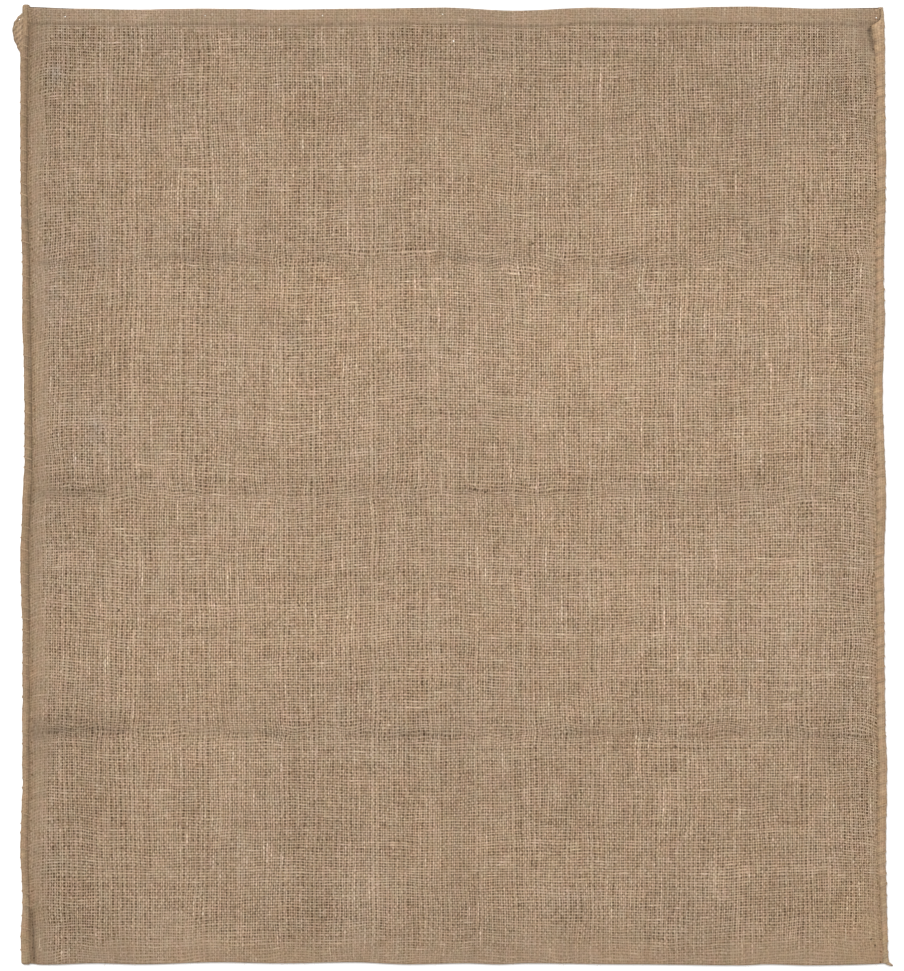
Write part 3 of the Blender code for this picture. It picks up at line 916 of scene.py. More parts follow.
def make_back(materials):
    rows, parts = back_rows(), columns()
    plan = Plan(column_of(rows, "height"), parts[None, :])
    low = plan.back_low()
    proud = column_of(rows, "step_z")
    hem = np.clip(proud / HEM_RISE, 0.0, 1.0)
    fine = plan.uneven(UNDERSIDE) + UNDERSIDE.size
    low = low + fine * rise(plan.height - UNDER_REACH, 0.010)
    outer_y = plan.y + column_of(rows, "step_y")
    outer_z = np.maximum(low - proud * plan.drape(), 0.0)
    inner_y = plan.y + np.minimum(column_of(rows, "step_y"), 0.0)
    inner_z = low + SKIN
    ends, picks = plan.weave()
    ends, picks = ends + BACK_COUNT + 0.5, picks + BACK_COUNT
    warm = np.where(hem > 0, BACK_HEM_WARMER, 0.0) + warmth(plan, 62)
    fields = sheet_fields(plan, hem, ends, picks, plan.shade() - BACK_DARKER, warm)
    outer = np.stack([plan.x, outer_y, outer_z], axis=2)
    inner = np.stack([plan.x, inner_y, inner_z], axis=2)
    piece = cloth_object("sack_back", outer, inner, fields, materials)
    part_skins(piece)
    return piece


# ---------------------------------------------------------------- rolled seams


ROLL_SIDES = 18
ROLL_PULL = 0.00018         # how far an oversewing stitch pulls the roll in
LEFT_STANDS_OUT = 0.0010    # how much further out the left roll lies than its table says
ROLL_STEP = 0.0017
END_RINGS = 5
ROLL_COUNT = 900            # where the count of the rolls' yarns starts, clear of the sheets' own
HAIR_POINTS = 7


def roll_line(side, heights):
    """The middle and the half width of a rolled seam, and the height of the mouth end of it."""
    table = LEFT_SEAM if side == "left" else RIGHT_SEAM
    outward = -1.0 if side == "left" else 1.0
    line = 0.0 if side == "left" else SACK_WIDTH
    out, width = eased(table, "out", heights), eased(table, "width", heights)
    edge = line + outward * out
    middle = edge - outward * (0.5 * width - (LEFT_STANDS_OUT if side == "left" else 0.0))
    low, high = FOLD_ROUND - edge_out(BOTTOM, middle), SACK_HEIGHT + edge_out(MOUTH, middle)
    y = low + (high - low) * heights / SACK_HEIGHT
    return middle, y, 0.5 * width


def stitch_phase(side):
    return 0.0 if side == "left" else RIGHT_PHASE


def squeeze(y, side):
    """1 where an oversewing stitch pulls the roll in, and 0 half-way to the next."""
    turn = y / SEAM_STITCH + stitch_phase(side)
    return 0.5 + 0.5 * np.cos(math.tau * turn)


def roll_height(heights):
    """How high a roll stands: less at the mouth, where it lies in the turned hem."""
    return ROLL_HEIGHT - 0.0010 * rise(heights - SACK_HEIGHT + 1.6 * HEM_DEPTH, HEM_DEPTH)


def rings(side):
    """The rings of a rolled seam: middles, half widths and half heights."""
    heights = np.arange(0.0, SACK_HEIGHT, ROLL_STEP)
    heights = np.append(heights, SACK_HEIGHT)
    x, y, half = roll_line(side, heights)
    outward = -1.0 if side == "left" else 1.0
    half = half + 0.00035 * noise(y, y, 0.016, 0.016, 81) - ROLL_PULL * squeeze(y, side)
    tall = 0.5 * roll_height(heights) + 0.00025 * noise(y, y, 0.02, 0.02, 82)
    tall = tall - ROLL_PULL * squeeze(y, side)
    x = x + 0.00025 * noise(y, y, 0.03, 0.03, 83)
    ends = {}
    for ear in EARS:
        if ear.side != side:
            continue
        at = 0 if ear.end == "bottom" else -1
        sense = -1.0 if ear.end == "bottom" else 1.0
        turn = 0.5 * math.pi * np.arange(1, END_RINGS + 1) / (END_RINGS + 0.35)
        ends[ear.end] = (
            x[at] + outward * ear.outward * np.sin(turn),
            y[at] + sense * ear.along * np.sin(turn),
            half[at] * np.cos(turn) ** 0.75,
            tall[at] * np.cos(turn) ** 0.75,
        )
    line = []
    for low, body, high in zip(ends["bottom"], (x, y, half, tall), ends["mouth"]):
        line.append(np.concatenate([low[::-1], body, high]))
    return line


def ring_points(x, y, half, tall, middle_z, sides):
    angle = math.tau * np.arange(sides) / sides
    return np.stack([
        x[:, None] + half[:, None] * np.cos(angle)[None, :],
        np.repeat(y[:, None], sides, axis=1),
        middle_z[:, None] + tall[:, None] * np.sin(angle)[None, :],
    ], axis=2)


def tube_faces(count, sides, first=0):
    """Quads round a row of rings, and a face over each end."""
    faces = []
    for ring in range(count - 1):
        low = first + ring * sides
        for side in range(sides):
            after = (side + 1) % sides
            faces.append((low + side, low + after, low + sides + after, low + sides + side))
    last = first + (count - 1) * sides
    faces.append(tuple(first + side for side in reversed(range(sides))))
    faces.append(tuple(last + side for side in range(sides)))
    return faces


def finish_roll(name, points, material, warm, shade, turns, closeness):
    """A rolled piece with its weave wound round it."""
    count, sides = points.shape[:2]
    piece = mesh_object(name, points, tube_faces(count, sides))
    face_out(piece.data)
    piece.data.materials.append(material)
    around = np.repeat(np.arange(sides)[None, :], count, axis=0)
    # Counted up one side of the roll and down the other, so that the weave has no break in it.
    folded = np.minimum(around, sides - around) / (0.5 * sides)
    along = points[..., 1] / PICK_PITCH + 1.2 * folded
    set_map(piece.data, "weave", ROLL_COUNT + turns * folded, ROLL_COUNT + along)
    set_map(piece.data, "stitching", np.zeros_like(folded), np.full_like(folded, 50.0))
    set_values(piece.data, "close", np.full_like(folded, closeness))
    set_values(piece.data, "shade", shade)
    set_values(piece.data, "warm", warm)
    return piece


def make_roll(side, material):
    middle, along, half, tall = rings(side)
    points = ring_points(middle, along, half, tall, tall, ROLL_SIDES)
    x, y, z = np.moveaxis(points, 2, 0)
    z += 0.00016 * noise(x * 1.7 + z, y, 0.0022, 0.0030, 84) * (z > 0.001)
    # Painted shade where each stitch pulls the roll in, over the roll's own mottled tone
    shade = 1.00 - 0.07 * squeeze(y, side) ** 3
    shade = shade + 0.04 * noise(x, y, 0.010, 0.012, 85) + 0.09 * noise(x, y, 0.0026, 0.0034, 87)
    off_middle = roll_line(side, np.clip(y, 0.0, SACK_HEIGHT))[0] - x
    if side == "left":
        # Darker up the sack, and lighter on its outer half with painted light, on the side the lamp
        # falls on
        shade = shade - 0.15 - 0.10 * rise(y - 0.20, 0.30)
        shade = shade + 0.14 * np.clip(off_middle / 0.0035, -1, 1)
    else:
        # Painted shade in the notches that the stitches pull in along its inner edge, with slanting
        # bands
        notch_shade = squeeze(y + 0.0012, side) ** 2 * np.clip(off_middle / 0.0040, 0.0, 1.0)
        slant = np.cos(math.tau * (y - 0.7 * x) / (0.5 * SEAM_STITCH))
        shade = shade + 0.05 - 0.30 * notch_shade + 0.07 * slant + 0.07 * noise(x, y, 0.0030, 0.0042, 89)
    warm = 0.85 + 0.35 * noise(x, y, 0.05, 0.020, 86)
    return finish_roll("seam_" + side, points, material, warm, shade, 5.0, 1.75)


EAR_PLEAT = 0.0052          # from one pleat of the corner's fold to the next
EAR_RINGS = 64
EAR_SIDES = 36
EAR_MIDDLE = 0.0023         # the height of the middle of the fold, and half of how thick it is
EAR_HALF = 0.0021
EAR_RIM = 0.0016            # how wide the painted shade round its outer rim is


def make_ear_fold(material):
    """The spare cloth folded out past the left seam, below the mouth."""
    heights = np.linspace(EAR_FOLD[0].height, EAR_FOLD[-1].height, EAR_RINGS)
    out, width = eased(EAR_FOLD, "out", heights), eased(EAR_FOLD, "width", heights)
    part = np.linspace(0, 1, len(heights))
    closing = np.sqrt(np.maximum(1 - (2 * part - 1) ** 4, 0.02))
    half = 0.5 * width
    middle_z = np.full_like(heights, EAR_MIDDLE)
    points = ring_points(-out + half, heights, half, EAR_HALF * closing, middle_z, EAR_SIDES)
    x, y, z = np.moveaxis(points, 2, 0)
    pleat = np.cos(math.tau * (x - y) / EAR_PLEAT)
    z += 0.00040 * pleat * (z > EAR_MIDDLE)
    # Painted light and shade on the pleats, lighter on their ridges and darker in their hollows, over
    # the cloth's own mottling
    shade = 0.84 + 0.10 * noise(x, y, 0.004, 0.004, 88) + 0.22 * pleat
    # Painted shade round the fold's outer rim
    rim = np.clip((-x - out[:, None]) / EAR_RIM + 1, 0, 1)
    warm = np.full_like(shade, 0.4)
    return finish_roll("corner_ear", points, material, warm, shade - 0.25 * rim, 6.0, 1.6)


# ---------------------------------------------------------------- twine


def walked_along(path):
    """How far each point of a path lies along it."""
    steps = np.linalg.norm(np.diff(path, axis=0), axis=1)
    return np.concatenate([[0], np.cumsum(steps)])


def across_path(path):
    """The two directions square to a path at each of its points."""
    tangent = np.gradient(path, axis=0)
    tangent /= np.linalg.norm(tangent, axis=1)[:, None] + 1e-12
    up = np.where(np.abs(tangent[:, 2:3]) < 0.9, (0.0, 0.0, 1.0), (1.0, 0.0, 0.0))
    side = np.cross(tangent, up)
    side /= np.linalg.norm(side, axis=1)[:, None]
    return side, np.cross(side, tangent)


TWINE_STEP = 0.0006         # from one ring of a twine's strand to the next
TWINE_PROUD = 0.00010       # how far the oversewing twine's middle lies outside the roll
TWINE_LAY = 0.0045          # one turn of the two strands of a twine round each other
SEAM_TWINE = 0.00062        # half the thickness of the oversewing twine
HEM_TWINE = 0.00050
STITCH_SLANT = 0.0042       # how far along the seam a stitch goes as it passes over the roll
STITCH_START = 1.06 * math.pi       # where round the roll a stitch starts, from its outer side
STITCH_END = -0.34 * math.pi
RUN_SHOWN = 0.0048          # how much of a running stitch shows
SUNK = 0.00010              # how deep a running stitch lies in the cloth, and its ends more
ENDS_SUNK = 0.0011
FIBRES_ON_TOP = 420
FIBRES_ROUND_EDGES = 260
FIBRE_MARGIN = 0.012        # how far in from the sides and the mouth the loose fibres start
FIBRE_LOWEST = 0.008        # and how far above the bottom fold
FIBRE_CLEAR = 0.00012       # how far off the cloth a loose fibre's ends are, and its middle more
FIBRE_ARCH = 0.0006


class Strands:
    """Many thin round strands gathered into one mesh."""

    def __init__(self, sides):
        self.sides = sides
        self.made = 0
        self.points = []
        self.faces = []
        self.along = []
        self.around = []
        self.tone = []

    def add(self, path, radius, tone):
        """One strand along a path of points, thinner at its two ends."""
        path = np.asarray(path, float)
        count = len(path)
        side, over = across_path(path)
        angle = math.tau * np.arange(self.sides) / self.sides
        part = np.linspace(-1, 1, count)
        thick = radius * (1 - 0.55 * np.abs(part) ** 6)
        ring = (
            path[:, None, :]
            + thick[:, None, None] * np.cos(angle)[None, :, None] * side[:, None, :]
            + thick[:, None, None] * np.sin(angle)[None, :, None] * over[:, None, :]
        )
        self.faces += tube_faces(count, self.sides, self.made)
        self.made += count * self.sides
        self.points.append(ring.reshape(-1, 3))
        walked = walked_along(path)
        self.along.append(np.repeat(walked, self.sides))
        self.around.append(np.tile(angle / math.tau, count))
        self.tone.append(np.full(count * self.sides, tone))

    def add_twine(self, path, radius, phase, tone):
        """A twine of two strands laid round each other."""
        path = np.asarray(path, float)
        walked = walked_along(path)
        count = max(6, math.ceil(walked[-1] / TWINE_STEP))
        even = np.linspace(0, walked[-1], count)
        path = np.stack([np.interp(even, walked, path[:, axis]) for axis in range(3)], axis=1)
        side, over = across_path(path)
        for ply in (0.0, 0.5):
            angle = math.tau * (even / TWINE_LAY + ply + phase)
            swing = np.cos(angle)[:, None] * side + np.sin(angle)[:, None] * over
            self.add(path + 0.48 * radius * swing, 0.56 * radius, tone)

    def piece(self, name, material):
        piece = mesh_object(name, np.concatenate(self.points), self.faces)
        piece.data.materials.append(material)
        along, around = np.concatenate(self.along), np.concatenate(self.around)
        set_map(piece.data, "strand", along / 0.001, around)
        set_values(piece.data, "tone", np.concatenate(self.tone))
        return piece


def make_oversewing(side, material):
    """Stitches of twine that pass slantwise over the roll, from the groove to the underside."""
    strands = Strands(6)
    chance = np.random.default_rng(101 if side == "left" else 102)
    outward = -1.0 if side == "left" else 1.0
    count = int(SACK_HEIGHT / SEAM_STITCH)
    for number in range(1, count):
        y = (number - stitch_phase(side)) * SEAM_STITCH + chance.normal(0, 0.0006)
        if not 0.006 < y < SACK_HEIGHT - 0.004:
            continue
        slant = chance.normal(STITCH_SLANT, 0.0007)
        angle = np.linspace(STITCH_START, STITCH_END, 15)
        part = np.linspace(0, 1, len(angle))
        heights = y + slant * (part - 0.35)
        x, middle_y, half = roll_line(side, heights)
        half = half - ROLL_PULL * squeeze(heights, side)
        tall = 0.5 * roll_height(heights) - ROLL_PULL * squeeze(heights, side)
        ring_x = x + outward * (half + TWINE_PROUD) * np.cos(angle)
        ring_z = np.maximum(tall + (tall + TWINE_PROUD) * np.sin(angle), 0.0005)
        path = np.stack([ring_x, middle_y, ring_z], axis=1)
        thick, phase, tone = chance.normal(SEAM_TWINE, 0.00005), chance.uniform(), chance.uniform()
        tone = 0.45 + 0.55 * tone if side == "right" else tone
        strands.add_twine(path, thick, phase, tone)
    return strands.piece("oversewing_" + side, material)


def top_of_hem(x, height):
    """The top of the hem at places along it."""
    left, right = nips(height)
    plan = Plan(height, (x - left) / (right - left))
    return plan.x, plan.y - HEM_INSET, plan.front_top() + HEM_RISE


def make_hem_stitches(material):
    """The running stitch along the hem, sunk in the cloth."""
    strands = Strands(6)
    chance = np.random.default_rng(111)
    count = int(SACK_WIDTH / HEM_STITCH)
    for number in range(1, count):
        start = (number + 0.50) * HEM_STITCH - 0.5 * RUN_SHOWN + chance.normal(0, 0.0003)
        x = np.linspace(start, start + RUN_SHOWN, 9)
        if x[-1] > SACK_WIDTH - 0.016 or x[0] < 0.012:
            continue
        x, y, z = top_of_hem(x, SACK_HEIGHT - HEM_LINE)
        part = np.linspace(-1, 1, len(x))
        z = z - SUNK - ENDS_SUNK * np.abs(part) ** 4
        y = y + chance.normal(0, 0.00025) * part
        path = np.stack([x, y, z], axis=1)
        strands.add_twine(path, HEM_TWINE, chance.uniform(), chance.uniform())
    return strands.piece("hem_stitches", material)


def front_height(x, y):
    """The height of the front's outside over places on it, hem included."""
    left, right = nips(y)
    top = Plan(y, (x - left) / (right - left)).front_top()
    return top + np.where(y > HEM_EDGE, HEM_RISE, 0.0)


def hair(x, y, length, heading, bend):
    """The plan of a short curved hair."""
    part = np.linspace(0, 1, HAIR_POINTS)
    turn = heading + bend * part
    step = length / HAIR_POINTS
    return x + np.cumsum(np.cos(turn)) * step, y + np.cumsum(np.sin(turn)) * step


def make_fibres(material):
    """Single fibres that have worked loose: short curved hairs on the cloth and round its edges."""
    strands = Strands(3)
    chance = np.random.default_rng(121)
    arch = np.sin(math.pi * np.linspace(0, 1, HAIR_POINTS))
    for _ in range(FIBRES_ON_TOP):
        x = chance.uniform(FIBRE_MARGIN, SACK_WIDTH - FIBRE_MARGIN)
        y = chance.uniform(FIBRE_LOWEST, SACK_HEIGHT - FIBRE_MARGIN)
        length, heading = chance.uniform(0.003, 0.010), chance.uniform(0, math.tau)
        px, py = hair(x, y, length, heading, chance.normal(0, 1.1))
        z = front_height(px, py) + FIBRE_CLEAR + FIBRE_ARCH * arch
        path = np.stack([px, py, z], axis=1)
        strands.add(path, chance.uniform(0.00004, 0.00009), chance.uniform())
    edges = (
        (0.001, None, math.pi),
        (SACK_WIDTH - 0.001, None, 0.0),
        (None, SACK_HEIGHT - 0.001, 0.5 * math.pi),
        (None, 0.001, -0.5 * math.pi),
    )
    for number in range(FIBRES_ROUND_EDGES):
        x, y, heading = edges[number % 4]
        x = chance.uniform(0, SACK_WIDTH) if x is None else x
        y = chance.uniform(0, SACK_HEIGHT) if y is None else y
        length, bend = chance.uniform(0.0015, 0.0050), chance.normal(0, 0.8)
        px, py = hair(x, y, length, heading + chance.normal(0, 0.6), bend)
        z = chance.uniform(0.0008, 0.0040) + chance.normal(0, 0.0005) * arch
        path = np.stack([px, py, np.maximum(z, 0.0003)], axis=1)
        strands.add(path, chance.uniform(0.00004, 0.00008), chance.uniform())
    return strands.piece("loose_fibres", material)


def make_slubs(material):
    """Thick pale stretches of single yarns, which pass over and under the yarns they cross."""
    strands = Strands(6)
    chance = np.random.default_rng(141)
    for slub in SLUBS:
        along = np.linspace(0.0, slub.length, math.ceil(slub.length / 0.0007) + 3)
        aside = 0.0004 * noise(along + slub.x, along + slub.y, 0.012, 0.012, 142)
        px, py = (along, aside) if slub.lies == "across" else (aside, along)
        crossed = END_PITCH if slub.lies == "across" else PICK_PITCH
        lift = 0.00022 * np.cos(math.pi * along / crossed)
        z = front_height(slub.x + px, slub.y + py) - 0.55 * slub.size + lift
        path = np.stack([slub.x + px, slub.y + py, z], axis=1)
        strands.add(path, slub.size, chance.uniform(0.4, 1.0))
    return strands.piece("slubs", material)


def make_specks(name, specks, material, flat, seed):
    """Small lumps, a little flattened, each turned its own way."""
    chance = np.random.default_rng(seed)
    shell = bmesh.new()
    for speck in specks:
        z = float(front_height(speck.x, speck.y))
        made = bmesh.ops.create_icosphere(shell, subdivisions=2, radius=speck.size)
        stretch, turn = chance.uniform(0.9, 1.5), chance.uniform(0, math.pi)
        for vertex in made["verts"]:
            lump = 1 + 0.18 * math.sin(9e3 * vertex.co.x + 7e3 * vertex.co.y + 5e3 * vertex.co.z)
            long_x, short_y = vertex.co.x * stretch * lump, vertex.co.y * lump
            vertex.co = (
                speck.x + LEFT_LINE + long_x * math.cos(turn) - short_y * math.sin(turn),
                speck.y + BOTTOM_LINE + long_x * math.sin(turn) + short_y * math.cos(turn),
                max(z + flat * vertex.co.z * lump, 0.0004),
            )
    mesh = bpy.data.meshes.new(name)
    shell.to_mesh(mesh)
    shell.free()
    mesh.shade_smooth()
    mesh.materials.append(material)
    piece = bpy.data.objects.new(name, mesh)
    bpy.context.scene.collection.objects.link(piece)
    return piece


# ---------------------------------------------------------------- materials


class Field:
    """A number that varies over a surface. Arithmetic on it makes the Math nodes of a material."""

    def __init__(self, tree, socket):
        self.tree = tree
        self.socket = socket

    def through(self, operation, *others, clamp=False):
        node = self.tree.nodes.new("ShaderNodeMath")
        node.operation = operation
        node.use_clamp = clamp
        for place, value in zip(node.inputs, (self, *others)):
            connect(self.tree, value, place)
        return Field(self.tree, node.outputs[0])

    __add__ = __radd__ = partialmethod(through, "ADD")
    __sub__ = partialmethod(through, "SUBTRACT")
    __mul__ = __rmul__ = partialmethod(through, "MULTIPLY")
    __truediv__ = partialmethod(through, "DIVIDE")
    floor = partialmethod(through, "FLOOR")
    fraction = partialmethod(through, "FRACT")
    cosine = partialmethod(through, "COSINE")
    power = partialmethod(through, "POWER")
    higher = partialmethod(through, "MAXIMUM")
    held = partialmethod(through, "ADD", 0.0, clamp=True)   # kept between 0 and 1

    def __rsub__(self, other):
        return self * -1.0 + other

    def ramp(self, low, high):
        """0 below the low value and 1 above the high one, smooth between them."""
        node = self.tree.nodes.new("ShaderNodeMapRange")
        node.interpolation_type = "SMOOTHSTEP"
        connect(self.tree, self, node.inputs["Value"])
        connect(self.tree, low, node.inputs["From Min"])
        connect(self.tree, high, node.inputs["From Max"])
        return Field(self.tree, node.outputs["Result"])

    def blend(self, low, high):
        """From low where this is 0 to high where it is 1."""
        return (high - low) * self + low


def connect(tree, value, place):
    if isinstance(value, Field):
        tree.links.new(value.socket, place)
    else:
        place.default_value = value


DRY_GLOSS = 0.10            # the specular level of dry jute, lint and paper


class Material:
    """A procedural material as it is put together."""

    def __init__(self, name, viewport):
        self.material = bpy.data.materials.new(name)
        self.material.use_nodes = True
        self.material.diffuse_color = (*viewport, 1.0)
        self.tree = self.material.node_tree
        self.shader = self.tree.nodes["Principled BSDF"]

    def mapped(self, name):
        """The two numbers of a UV map."""
        node = self.tree.nodes.new("ShaderNodeUVMap")
        node.uv_map = name
        return self.split(node.outputs["UV"])

    def split(self, socket):
        node = self.tree.nodes.new("ShaderNodeSeparateXYZ")
        self.tree.links.new(socket, node.inputs[0])
        return [Field(self.tree, node.outputs[axis]) for axis in range(3)]

    def position(self):
        node = self.tree.nodes.new("ShaderNodeTexCoord")
        return self.split(node.outputs["Object"])

    def value(self, name):
        """A number kept with each vertex."""
        node = self.tree.nodes.new("ShaderNodeAttribute")
        node.attribute_name = name
        return Field(self.tree, node.outputs["Fac"])

    def vector(self, x=0.0, y=0.0, z=0.0):
        node = self.tree.nodes.new("ShaderNodeCombineXYZ")
        for place, part in zip(node.inputs, (x, y, z)):
            connect(self.tree, part, place)
        return node.outputs[0]

    def noise(self, x, y, z=0.0, detail=0.0, roughness=0.5):
        """Smooth noise about 0, mostly between -0.5 and 0.5, a swing to each whole number."""
        node = self.tree.nodes.new("ShaderNodeTexNoise")
        for name, value in (("Scale", 1.0), ("Detail", detail), ("Roughness", roughness)):
            node.inputs[name].default_value = value
        self.tree.links.new(self.vector(x, y, z), node.inputs["Vector"])
        return Field(self.tree, node.outputs["Fac"]) - 0.5

    def chance(self, number, seed):
        """A random number from 0 to 1 for each whole number."""
        node = self.tree.nodes.new("ShaderNodeTexWhiteNoise")
        node.noise_dimensions = "2D"
        self.tree.links.new(self.vector(number, seed), node.inputs["Vector"])
        return Field(self.tree, node.outputs["Value"])

    def colour_at(self, value, stops):
        """The colour at a value, from a short table of values and colours."""
        node = self.tree.nodes.new("ShaderNodeValToRGB")
        connect(self.tree, value, node.inputs["Fac"])
        keys = node.color_ramp.elements
        while len(keys) < len(stops):
            keys.new(1.0)
        for key, stop in zip(keys, stops):
            key.position = stop[0]
            key.color = (*stop[1], 1.0)
        return node.outputs["Color"]

    def mix_colour(self, part, low, high):
        node = self.tree.nodes.new("ShaderNodeMix")
        node.data_type = "RGBA"
        connect(self.tree, part, node.inputs[0])
        for place, colour in ((node.inputs[6], low), (node.inputs[7], high)):
            if isinstance(colour, tuple):
                place.default_value = (*colour, 1.0)
            else:
                self.tree.links.new(colour, place)
        return node.outputs[2]

    def scaled_colour(self, colour, red, green, blue):
        """A colour with each of its parts multiplied by a field."""
        node = self.tree.nodes.new("ShaderNodeVectorMath")
        node.operation = "MULTIPLY"
        self.tree.links.new(colour, node.inputs[0])
        self.tree.links.new(self.vector(red, green, blue), node.inputs[1])
        return node.outputs[0]

    def wear(self, colour, roughness, height, distance):
        """Gives the shader its colour, roughness and bump."""
        self.tree.links.new(colour, self.shader.inputs["Base Color"])
        connect(self.tree, roughness, self.shader.inputs["Roughness"])
        self.shader.inputs["Specular IOR Level"].default_value = DRY_GLOSS
        if height is not None:
            bump = self.tree.nodes.new("ShaderNodeBump")
            bump.inputs["Distance"].default_value = distance
            connect(self.tree, height, bump.inputs["Height"])
            self.tree.links.new(bump.outputs["Normal"], self.shader.inputs["Normal"])
        return self.material


Yarn = namedtuple("Yarn", "body light number")

# Tones of the jute, from the painted shade of a hole to the palest slub
JUTE_TONES = (
    (0.00, (0.048, 0.022, 0.007)),
    (0.20, (0.152, 0.092, 0.045)),
    (0.33, (0.215, 0.143, 0.086)),
    (0.50, (0.335, 0.239, 0.159)),
    (0.72, (0.476, 0.358, 0.254)),
    (0.86, (0.545, 0.416, 0.303)),
    (1.00, (0.640, 0.508, 0.389)),
)

JUTE_TONE = 0.435           # the middle tone of a yarn
CLOSE_TONE = 0.46           # what the tones draw together to where the cloth is close
WEAVE_DEPTH = 0.00045

# How the two sets of yarns are spun and laid: half the width of a yarn, how far the ends of a pair
# lean together, how far one yarn strays from its place, how often its thickness changes along it,
# and how much lighter and darker it gets.
Spin = namedtuple("Spin", "seed half pairing stray change streak")
WARP = Spin(11.0, 0.365, 0.100, 0.18, 0.075, 0.68)
WEFT = Spin(37.0, 0.335, 0.000, 0.14, 0.110, 0.55)


def yarn(net, across, along, spin, open_part):
    """One of the weave's two sets of yarns, from its own coordinate and the one along it."""
    number = across.floor()
    seed = spin.seed
    lean = 1.0 - (number * 0.5).fraction() * 4.0
    stray = (net.chance(number, seed + 2.0) - 0.5) * spin.stray
    offset = across.fraction() - 0.5 - lean * spin.pairing - stray
    own = net.chance(number, seed) - 0.5
    thick = net.noise(number * 7.31 + seed, along * spin.change, seed, detail=2.0, roughness=0.6)
    short = net.noise(number * 5.17 + seed, along * 0.55, seed + 3.0)
    half = (own * 0.10 + thick * 0.34 + short * 0.30 + spin.half - open_part * 0.07).higher(0.14)
    body = 1.0 - (offset / half).power(2.0)
    slow = along * spin.change * 0.8
    pale = net.noise(number * 3.73 + seed, slow, seed + 7.0, detail=2.0, roughness=0.6)
    slub = pale.ramp(0.12, 0.24) * 0.55
    light = (net.chance(number, seed + 5.0) - 0.5) * 0.18 + pale * spin.streak + short * 0.25 + slub
    fibres = net.noise(offset * 9.0 + along * 1.3, along * 1.1, number * 1.9 + seed, detail=1.0)
    return Yarn(body, light + fibres * 0.30, number)


def weave_material(name):
    """Plain-woven jute: warp ends in pairs, uneven yarns, holes dark with painted shade, painted shade
    round each yarn, slubs and coloured patches.
    """
    net = Material(name, (0.42, 0.30, 0.20))
    ends, picks, _ = net.mapped("weave")
    close = net.value("close")
    shade = net.value("shade")
    warm = net.value("warm")
    still_ends, still_picks = ends, picks
    ends = ends + net.noise(ends * 0.07, picks * 0.045, 1.0) * 1.5
    ends = ends + net.noise(still_ends * 0.5, picks * 0.3, 2.0) * 0.35
    picks = picks + net.noise(still_ends * 0.10, picks * 0.12, 3.0) * 0.5
    picks = picks + net.noise(ends * 0.55, still_picks * 0.5, 4.0) * 0.25
    open_part = 1.0 - close
    warp = yarn(net, ends, picks, WARP, open_part)
    weft = yarn(net, picks, ends, WEFT, open_part)
    warp_swing = ((picks - 0.5 + warp.number) * math.pi).cosine()
    weft_swing = ((ends - 0.5 + weft.number) * math.pi).cosine() * -1.0
    warp_there, weft_there = warp.body.ramp(0.0, 0.45), weft.body.ramp(0.0, 0.45)
    warp_top = warp.body.higher(0.0) * 0.45 + warp_swing * 0.42 + (warp_there - 1.0) * 2.0
    weft_top = weft.body.higher(0.0) * 0.45 + weft_swing * 0.42 + (weft_there - 1.0) * 2.0
    over = (warp_top - weft_top).ramp(-0.18, 0.18)
    there = warp_there.higher(weft_there)
    top = warp_top.higher(weft_top)
    light = over.blend(weft.light, warp.light)
    relief = (top * 0.5 + 0.5).held()
    body = over.blend(weft.body, warp.body).held()
    cloudy = net.noise(still_ends * 0.045, still_picks * 0.055, 9.0, detail=2.0, roughness=0.6)
    crossing = net.chance(ends.floor() + picks.floor() * 517.0, 91.0) - 0.5
    # Painted light and shade on the yarns: lighter on their crowns, darker at their flanks and where
    # they dip under the yarns they cross; the rest is their own tone
    tone = JUTE_TONE + light * 0.42 + (relief - 0.7) * 0.16 + (body - 0.6) * 0.44
    tone = tone + cloudy * 0.16 + crossing * 0.13 + warp_swing * 0.055
    hole = 1.0 - there
    closed = close.ramp(0.5, 1.2)
    this_hole = net.chance((ends - 0.5).floor() + (picks - 0.5).floor() * 613.0, 93.0)
    # Painted shade in the holes, where the shaded inside of the sack shows through: less where the
    # cloth is close, and different in each hole
    hole_tone = 0.02 + closed * 0.22 + this_hole * this_hole * 0.26
    tone = there.blend(hole_tone, tone)
    smooth = close.ramp(1.3, 1.8)
    tone = (tone - CLOSE_TONE) * (1.0 - closed * 0.45) * (1.0 - smooth * 0.50) + CLOSE_TONE
    along_seam, from_seam, _ = net.mapped("stitching")
    # Painted shade in the needle holes along the seams and the hem
    tone = tone - needle_holes(net, along_seam, from_seam) * 0.34
    colour = net.colour_at(tone.held(), JUTE_TONES)
    pink = net.noise(still_ends * 0.16, still_picks * 0.13, 13.0, detail=3.0, roughness=0.7)
    gold = net.noise(still_ends * 0.20, still_picks * 0.18, 19.0, detail=3.0, roughness=0.7)
    # Times the shade kept with each vertex, which holds painted light and shade as well as the cloth's
    # own lighter and darker patches
    red = (1.0 + pink * 0.24 + warm * 0.035) * shade
    mid = (1.0 - pink * 0.05 - warm * 0.010) * shade
    blue = (1.0 - gold * 0.26 - warm * 0.090) * shade
    colour = net.scaled_colour(colour, red, mid, blue)
    rough = 0.90 + light * 0.08 + hole * 0.04
    return net.wear(colour, rough.held(), relief * there, WEAVE_DEPTH)


def needle_holes(net, along, away):
    """Painted shade in the needle holes: dark dots where the needle went through, one to a stitch and
    none alike.
    """
    number = along.floor()
    nudge = net.chance(number, 71.0) - 0.5
    from_hole = (along.fraction() - 0.5 - nudge * 0.25) * 9.5
    aside = away - nudge * 0.7
    distance = (from_hole.power(2.0) + aside.power(2.0)).power(0.5)
    deep = net.chance(number, 73.0) * 0.7 + 0.3
    return (1.0 - distance.ramp(0.25, 1.15)) * deep


